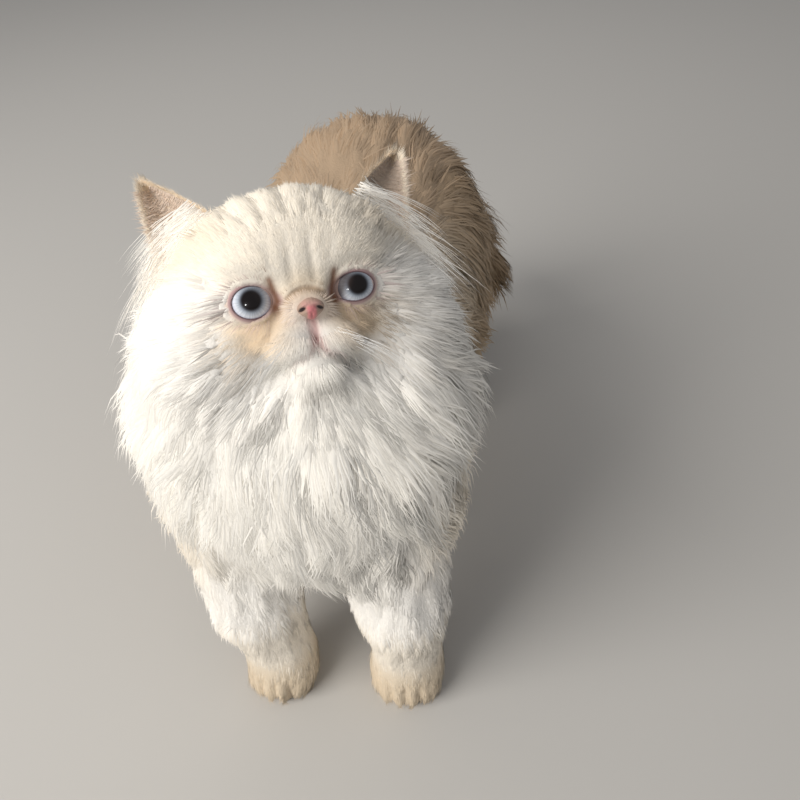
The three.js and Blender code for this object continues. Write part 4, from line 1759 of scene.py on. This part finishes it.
        line = line + DOWN * (along * size) ** 2 * kind.droop
        tone = np.tile(np.array(kind.colour), (count, 1))
        around = np.where(kind.layer < 1.0, (across + 1) / 4, 0.5 + (1 - across) / 4)
        return line, HEAD.turn_out(normal), np.full(count, kind.width), tone, ear_chart(side, around, up)

    def grow(
        self, name: str, kinds: tuple[EarHair, ...], steps: int, rng: np.random.Generator
    ) -> bpy.types.Object:
        """Some kinds of hair on both ears.

        Args:
            name: the piece's name.
            kinds: the kinds of hair in it.
            steps: how many segments a hair has.
            rng: the source of chance.

        Returns:
            The piece.
        """
        sets = [self.hairs(side, kind, steps, rng) for side in SIDES.values() for kind in kinds]
        line, normal, width, colour, spot = (np.concatenate(parts) for parts in zip(*sets))
        piece = LockMaker(steps, softness=0.35).build(name, line, normal, width, colour, spot, rng)
        piece.visible_shadow = False
        return piece

    def build(self, skin: bpy.types.Object) -> list[bpy.types.Object]:
        """Joins both blades to the skin and grows their hair.

        Args:
            skin: the skin, which takes in the blades.

        Returns:
            The pieces of hair.
        """
        rng = np.random.default_rng(SEED + 1)
        for side in SIDES.values():
            mesh = mesh_of("ear", *self.shell(side))
            self.chart(mesh, side)
            close_up(mesh)
            place = HEAD.into(read_points(mesh))
            inside = 1 - ramp(0.0, 6.0, place[:, 1] - self.root[1] - 3.0)
            warm, pink = np.array(self.warm), np.array(self.pink)
            paint(mesh, warm + (pink - warm) * inside[:, None])
            mesh.materials.append(SKIN_FINISH.material())
            piece = link(mesh, "ear")
            with bpy.context.temp_override(active_object=skin, selected_editable_objects=[skin, piece]):
                bpy.ops.object.join()
        return [self.grow("coat_ears", self.velvet, 2, rng), self.grow("ear_fringes", self.fringe, 5, rng)]


@dataclass
class Eyes:
    """Eyeballs with painted iris and pupil, and the rims of the lids."""

    rings: int = 64
    spokes: int = 110
    gaze: dict[str, Triple] = field(default_factory=lambda: {
        "left": (0.09, -1.0, 0.11), "right": (-0.03, -1.0, 0.11),
    })
    cornea_height: float = 0.9
    cornea_width: float = 7.5
    sunk: float = 0.35
    lid_steps: int = 120
    lid_turns: int = 20
    lid_wide: float = 3.8
    lid_thick: float = 0.6
    lid_over: float = 0.25
    lid_rise: float = 0.2
    lid_reach: float = 10.4
    iris: tuple[tuple[float, Triple], ...] = (
        (0.0, srgb(18, 12, 12)), (3.4, srgb(18, 12, 12)), (3.9, srgb(52, 52, 58)),
        (4.4, srgb(116, 122, 132)), (5.2, srgb(174, 182, 194)), (6.6, srgb(218, 222, 230)),
        (7.6, srgb(206, 208, 222)),
        (8.7, srgb(146, 138, 150)), (9.5, srgb(112, 92, 92)), (12.0, srgb(92, 70, 66)),
    )
    corner: Triple = srgb(84, 46, 36)
    # painted shade over the inner side of the eye, and how strong it is in each eye
    painted_inner_shade: Triple = srgb(66, 54, 50)
    painted_inner_shade_share: dict[float, float] = field(default_factory=lambda: {1.0: 0.85, -1.0: 0.2})
    lid_dark: Triple = srgb(104, 78, 80)
    lid_mauve: Triple = srgb(176, 146, 144)
    lid_fur: Triple = srgb(224, 208, 194)

    def ball(self, name: str) -> bpy.types.Object:
        """A sphere with a raised cornea about its gaze, coloured by distance from the gaze, with painted
        shade from the lids.

        Args:
            name: left or right.

        Returns:
            The eyeball.
        """
        side = SIDES[name]
        axis = unit(HEAD.turn_out(np.array([self.gaze[name]]))[0])
        turn = np.array(Vector((0, 0, 1)).rotation_difference(Vector(axis)).to_matrix())
        polar = np.pi * np.linspace(0, 1, self.rings)[:, None] ** 1.3
        angle = np.linspace(0, 2 * np.pi, self.spokes, endpoint=False)[None]
        front = np.cos(polar) > 0
        away = np.where(front, EYE.radius * np.sin(polar), 20.0)
        radius = EYE.radius - self.sunk + self.cornea_height * bell(away, self.cornea_width)
        grid = np.stack([
            radius * np.sin(polar) * np.cos(angle),
            radius * np.sin(polar) * np.sin(angle),
            radius * np.cos(polar) * np.ones_like(angle),
        ], -1).reshape(-1, 3)
        centre = HEAD.out(EYE.centre(side)[None])[0]
        points = grid @ turn.T + centre
        mesh = mesh_of(f"eyeball_{name}", points, grid_faces(self.rings, self.spokes, closed=True))
        away, around = (np.broadcast_to(each, (self.rings, self.spokes)).ravel() for each in (away, angle))
        paint(mesh, self.with_painted_shade(HEAD.into(points) - EYE.centre(side), side, self.iris_colour(away, around)))
        close_up(mesh)
        mesh.materials.append(EYE_FINISH.material())
        return link(mesh, f"eyeball_{name}")

    def iris_colour(self, away: Array, around: Array) -> Array:
        """Colours by distance from the gaze, streaked by two waves of fine rays in the iris.

        Args:
            away: distance from the gaze.
            around: angle about it.

        Returns:
            One colour a row.
        """
        steps, tones = [step for step, _ in self.iris], np.array([tone for _, tone in self.iris])
        colour = np.stack([np.interp(away, steps, tones[:, k]) for k in range(3)], -1)
        rays = np.sin(around * 29 + 2 * np.sin(around * 5)) + np.sin(around * 43 + away)
        inside = ramp(4.2, 5.0, away) * (1 - ramp(7.4, 8.4, away))
        return colour * (1 + 0.07 * rays * inside)[:, None]

    def with_painted_shade(self, off: Array, side: float, colour: Array) -> Array:
        """Painted shade below the upper lid and over the inner side of the eye, and brown at the inner
        corner.

        Args:
            off: places from the eye's middle, in head axes.
            side: 1 for the cat's left eye and -1 for its right one.
            colour: the eye's own colour.

        Returns:
            The colour with the painted shade and the brown of the inner corner.
        """
        inner = -side * off[:, 0] / EYE.half_width
        height = off[:, 2] / EYE.upper[0]
        # painted shade below the upper lid
        shade = ramp(0.45, 1.05, height + 0.2 * inner) * 0.35
        colour = colour * (1 - shade)[:, None]
        # painted shade over the inner side of the eye, strong in the cat's left eye and slight in its right
        # one
        painted_inner_shade = (self.painted_inner_shade_share[side] * ramp(0.15, 0.75, inner + 0.4 * height))[:, None]
        colour = colour * (1 - painted_inner_shade) + np.array(self.painted_inner_shade) * painted_inner_shade
        edge = ramp(0.86, 1.04, inner)[:, None]
        return colour * (1 - edge) + np.array(self.corner) * edge

    def lids(self, name: str) -> bpy.types.Object:
        """A flat ring that lies on the eyeball round its opening, dark along its inner edge.

        Args:
            name: left or right.

        Returns:
            The rims of both lids as one piece.
        """
        side = SIDES[name]
        steps, turns = self.lid_steps, self.lid_turns
        angle = np.linspace(0, 2 * np.pi, steps, endpoint=False)[:, None]
        turn = np.linspace(0, 2 * np.pi, turns, endpoint=False)[None]
        across, up = EYE.opening(side, angle)
        off = np.hypot(across, up)
        out = np.stack([across / off, 0 * off, up / off], -1)
        upper = 1.0 + 0.5 * np.maximum(np.sin(angle), 0)
        beyond = self.lid_wide * (0.5 + 0.5 * np.cos(turn)) * np.ones_like(angle)
        radial = off + beyond - self.lid_over
        lift = self.lid_rise + self.lid_thick * upper * np.sin(turn)
        on_ball = np.minimum(radial, self.lid_reach)
        height = np.sqrt(np.maximum(EYE.radius**2 - on_ball**2, 0)) + lift
        grid = out * radial[..., None] + np.stack([0 * height, -height, 0 * height], -1)
        points = HEAD.out((grid + EYE.centre(side)).reshape(-1, 3))
        ring = np.arange(turns)
        last = (steps - 1) * turns
        seam = np.stack([last + ring, last + (ring + 1) % turns, (ring + 1) % turns, ring], -1)
        mesh = mesh_of(f"lid_{name}", points, np.concatenate([grid_faces(steps, turns, closed=True), seam]))
        reach = beyond.ravel()[:, None]
        dark, mauve, fur = (np.array(tone) for tone in (self.lid_dark, self.lid_mauve, self.lid_fur))
        colour = dark + (mauve - dark) * ramp(0.35, 1.0, reach)
        paint(mesh, colour + (fur - colour) * ramp(1.2, 2.4, reach))
        close_up(mesh)
        mesh.materials.append(LID_FINISH.material())
        return link(mesh, f"lid_{name}")

    def build(self) -> list[bpy.types.Object]:
        """Both eyes with their lids.

        Returns:
            Eyeball and lids of the left eye, then of the right one.
        """
        made = []
        for name in SIDES:
            ball = self.ball(name)
            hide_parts(f"eye_{name}")
            lids = self.lids(name)
            made += [ball, lids]
        return made


@dataclass
class Nose:
    """The nose leather: a broad button with two slit nostrils."""

    centre: Triple = (1.0, -4.6, -5.0)
    radii: Triple = (5.7, 4.6, 4.7)
    rings: int = 80
    spokes: int = 110
    nostril: float = 3.7
    slit_half: tuple[float, float] = (1.8, 0.95)
    rim_half: tuple[float, float] = (2.6, 0.8)
    slit_depth: float = 1.3
    rim_height: float = 0.45
    groove_depth: float = 0.4
    pink: Triple = srgb(206, 158, 148)
    deep_pink: Triple = srgb(206, 124, 126)
    edge: Triple = srgb(172, 146, 130)
    # painted shade inside the nostril slits
    hollow: Triple = srgb(40, 22, 20)

    def build(self) -> bpy.types.Object:
        """An ellipsoid that narrows downwards, with nostrils pressed in, painted shade inside them, and a
        groove between them.

        Returns:
            The nose leather.
        """
        polar = np.linspace(0, np.pi, self.rings)[:, None]
        angle = np.linspace(0, 2 * np.pi, self.spokes, endpoint=False)[None]
        out = -np.cos(polar) * np.ones_like(angle)
        way = np.stack([np.sin(polar) * np.cos(angle), out, np.sin(polar) * np.sin(angle)], -1)
        way = way.reshape(-1, 3)
        narrow = 1.0 - 0.42 * ramp(0.05, 1.0, -way[:, 2]) - 0.12 * ramp(0.4, 1.0, way[:, 2])
        shape = way * np.array(self.radii)
        shape[:, 0] *= narrow
        x, z = np.abs(shape[:, 0]), shape[:, 2]
        front = way[:, 1] < 0.2
        u = x - self.nostril
        v = z - 0.1 + 0.4 * u
        slit = np.exp(-((u / self.slit_half[0]) ** 2) - (v / self.slit_half[1]) ** 2)
        rim = np.exp(-((u / self.rim_half[0]) ** 2) - ((v - 1.5) / self.rim_half[1]) ** 2)
        groove = bell(shape[:, 0], 0.5) * (1 - ramp(-2.5, -0.5, z))
        pressed = self.slit_depth * slit - self.rim_height * rim + self.groove_depth * groove
        shape[:, 1] += front * pressed
        points = HEAD.out(shape + np.array(self.centre))
        mesh = mesh_of("nose_leather", points, grid_faces(self.rings, self.spokes, closed=True))
        pale = (0.9 * bell(z - 1.9, 1.7) * (1 - ramp(2.6, 5.0, x)))[:, None]
        column = ((1 - ramp(1.1, 2.7, x)) * (1 - ramp(0.4, 2.6, z)))[:, None]
        colour = np.array(self.edge) * (1 - pale) + np.array(self.pink) * pale
        colour = colour * (1 - column) + np.array(self.deep_pink) * column
        # painted shade inside the nostril slits, which are pressed in only a little
        nostril_shade = (ramp(0.3, 0.75, slit) * front)[:, None]
        paint(mesh, colour * (1 - nostril_shade) + np.array(self.hollow) * nostril_shade)
        close_up(mesh)
        mesh.materials.append(NOSE_FINISH.material())
        piece = link(mesh, "nose_leather")
        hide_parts("nose")
        return piece


@dataclass
class Whiskers:
    """Long tapered hairs from the pads, drooping under their weight."""

    count: int = 12
    segments: int = 8
    length: float = 44.0
    width: float = 0.18
    flatness: float = 0.3
    droop: float = 0.014
    colour: Triple = srgb(250, 248, 244)

    def build(self) -> bpy.types.Object:
        """Straight lines out of four rows of each pad, bent down by the square of the way along.

        Returns:
            The whiskers of both sides as one piece.
        """
        rng = np.random.default_rng(SEED + 2)
        lines, normals = [], []
        along = np.linspace(0, 1, self.segments + 1)[None, :, None]
        for side in SIDES.values():
            row = rng.integers(0, 4, self.count)
            start = np.stack([
                side * (8.0 + 2.6 * rng.random(self.count) + 1.2 * row) + 1.2,
                -5.0 + 1.6 * row, -14.0 - 2.0 * row - 2.5 * rng.random(self.count),
            ], -1)
            heading = unit(np.stack([
                side * (0.9 + 0.2 * rng.random(self.count)), -0.6 + 0.4 * rng.random(self.count),
                -0.1 - 0.5 * rng.random(self.count),
            ], -1))
            size = (self.length * (0.55 + 0.45 * rng.random(self.count)))[:, None, None]
            line = start[:, None] + heading[:, None] * along * size
            line = HEAD.out(line.reshape(-1, 3)).reshape(line.shape)
            line = line + DOWN * (along * size) ** 2 * self.droop
            lines.append(line)
            normals.append(np.tile(HEAD.turn_out(np.array([[0.0, -1.0, 0.0]])), (self.count, 1)))
        line, normal = np.concatenate(lines), np.concatenate(normals)
        count = len(line)
        maker = LockMaker(self.segments, flatness=self.flatness)
        colour = np.tile(np.array(self.colour), (count, 1))
        row, column = np.divmod(np.arange(count), 14)
        spot = np.stack([EAR_BAND + 0.005 * column, 0.97 + 0.01 * row], -1)
        piece = maker.build("whiskers", line, normal, np.full(count, self.width), colour, spot, rng)
        piece.visible_shadow = False
        return piece


@dataclass(frozen=True)
class Lamp:
    """A square area light: its place, side, power in watts, colour and what it is aimed at."""

    name: str
    place: Triple
    size: float
    power: float
    colour: Triple
    aim: Triple = (0.0, -60.0, 160.0)

    def hang(self) -> bpy.types.Object:
        """Puts the light in the scene, unseen itself.

        Returns:
            The light.
        """
        data = bpy.data.lights.new(self.name, "AREA")
        data.size = self.size * MM
        data.energy = self.power
        data.color = self.colour
        lamp = bpy.data.objects.new(self.name, data)
        lamp.location = Vector(self.place) * MM
        way = Vector(self.aim) - Vector(self.place)
        lamp.rotation_euler = way.to_track_quat("-Z", "Y").to_euler()
        lamp.visible_camera = False
        bpy.context.scene.collection.objects.link(lamp)
        return lamp


@dataclass
class Stage:
    """Pale floor, soft studio light and the camera at the photograph's angle."""

    camera: Triple = (83.1, -449.7, 466.0)
    pitch: float = 42.0
    yaw: float = 8.0
    roll: float = 5.0
    sensor: float = 36.0
    lens: float = 36.0
    clips: tuple[float, float] = (0.01, 20.0)
    sky: float = 0.32
    sky_colour: Triple = (0.96, 0.97, 1.0)
    bounces: int = 8
    floor_half: float = 6000.0
    floor_colour: Triple = srgb(192, 189, 184)
    floor_roughness: float = 0.8
    soft: tuple[Lamp, ...] = (
        Lamp("key", (-1100.0, -940.0, 1200.0), 1300.0, 33.0, (1.0, 0.975, 0.94)),
        Lamp("fill", (1000.0, -600.0, 600.0), 1100.0, 0.5, (0.95, 0.97, 1.0)),
        Lamp("back", (-200.0, 900.0, 1100.0), 900.0, 2.0, (1.0, 0.98, 0.95)),
    )
    catch: Lamp = Lamp("catch", (-80.0, -560.0, 380.0), 40.0, 0.3, (1.0, 1.0, 1.0), (10.0, -180.0, 280.0))

    def floor(self) -> None:
        """A wide plain sheet below the paws."""
        corners = np.array([[-1, -1, 0], [1, -1, 0], [1, 1, 0], [-1, 1, 0]], float)
        mesh = mesh_of("floor", corners * self.floor_half, np.array([[0, 1, 2, 3]]))
        material = bpy.data.materials.new("pale_floor")
        material.use_nodes = True
        shader = material.node_tree.nodes["Principled BSDF"]
        shader.inputs["Base Color"].default_value = (*self.floor_colour, 1.0)
        shader.inputs["Roughness"].default_value = self.floor_roughness
        mesh.materials.append(material)
        link(mesh, "floor")

    def view(self) -> None:
        """The camera: looking down by pitch, turned by yaw, and rolled."""
        pitch, yaw, roll = (math.radians(value) for value in (self.pitch, self.yaw, self.roll))
        level = math.cos(pitch)
        ahead = Vector((-math.sin(yaw) * level, math.cos(yaw) * level, -math.sin(pitch)))
        right = Vector((math.cos(yaw), math.sin(yaw), 0.0))
        up = right.cross(ahead)
        across = right * math.cos(roll) - up * math.sin(roll)
        rise = right * math.sin(roll) + up * math.cos(roll)
        data = bpy.data.cameras.new("camera")
        data.sensor_width = self.sensor
        data.lens = self.lens
        data.clip_start, data.clip_end = self.clips
        camera = bpy.data.objects.new("camera", data)
        axes = Matrix((across, rise, -ahead)).transposed().to_4x4()
        camera.matrix_world = Matrix.Translation(Vector(self.camera) * MM) @ axes
        bpy.context.scene.collection.objects.link(camera)
        bpy.context.scene.camera = camera

    def build(self) -> None:
        """Sets floor, lights, sky and camera.

        The wide lamps leave no shine and the small one only a glint, in the eyes.
        """
        bpy.context.scene.view_settings.view_transform = "Standard"
        bpy.context.scene.cycles.diffuse_bounces = self.bounces
        self.floor()
        for lamp in self.soft:
            lamp.hang().visible_glossy = False
        self.catch.hang().visible_diffuse = False
        world = bpy.data.worlds.new("soft_sky")
        world.use_nodes = True
        sky = world.node_tree.nodes["Background"]
        sky.inputs["Color"].default_value = (*self.sky_colour, 1.0)
        sky.inputs["Strength"].default_value = self.sky
        bpy.context.scene.world = world
        self.view()


def main() -> None:
    """Builds the cat piece by piece and hands each to the frame."""
    logging.basicConfig(level=logging.INFO, format="%(message)s")
    Stage().build()
    skin, surface = Skin().build()
    pieces = [skin, *Eyes().build(), Nose().build(), *Ears().build(skin)]
    pieces += Coat(surface, amount=1.0).build()
    pieces.append(Whiskers().build())
    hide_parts(*FLESH, "ear_left", "ear_right")
    total = 0
    for piece in pieces:
        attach(piece, "root")
        piece.data.calc_loop_triangles()
        total += len(piece.data.loop_triangles)
        log.info("%s: %d triangles", piece.name, len(piece.data.loop_triangles))
    log.info("%d triangles in all", total)


if __name__ == "__main__":
    main()
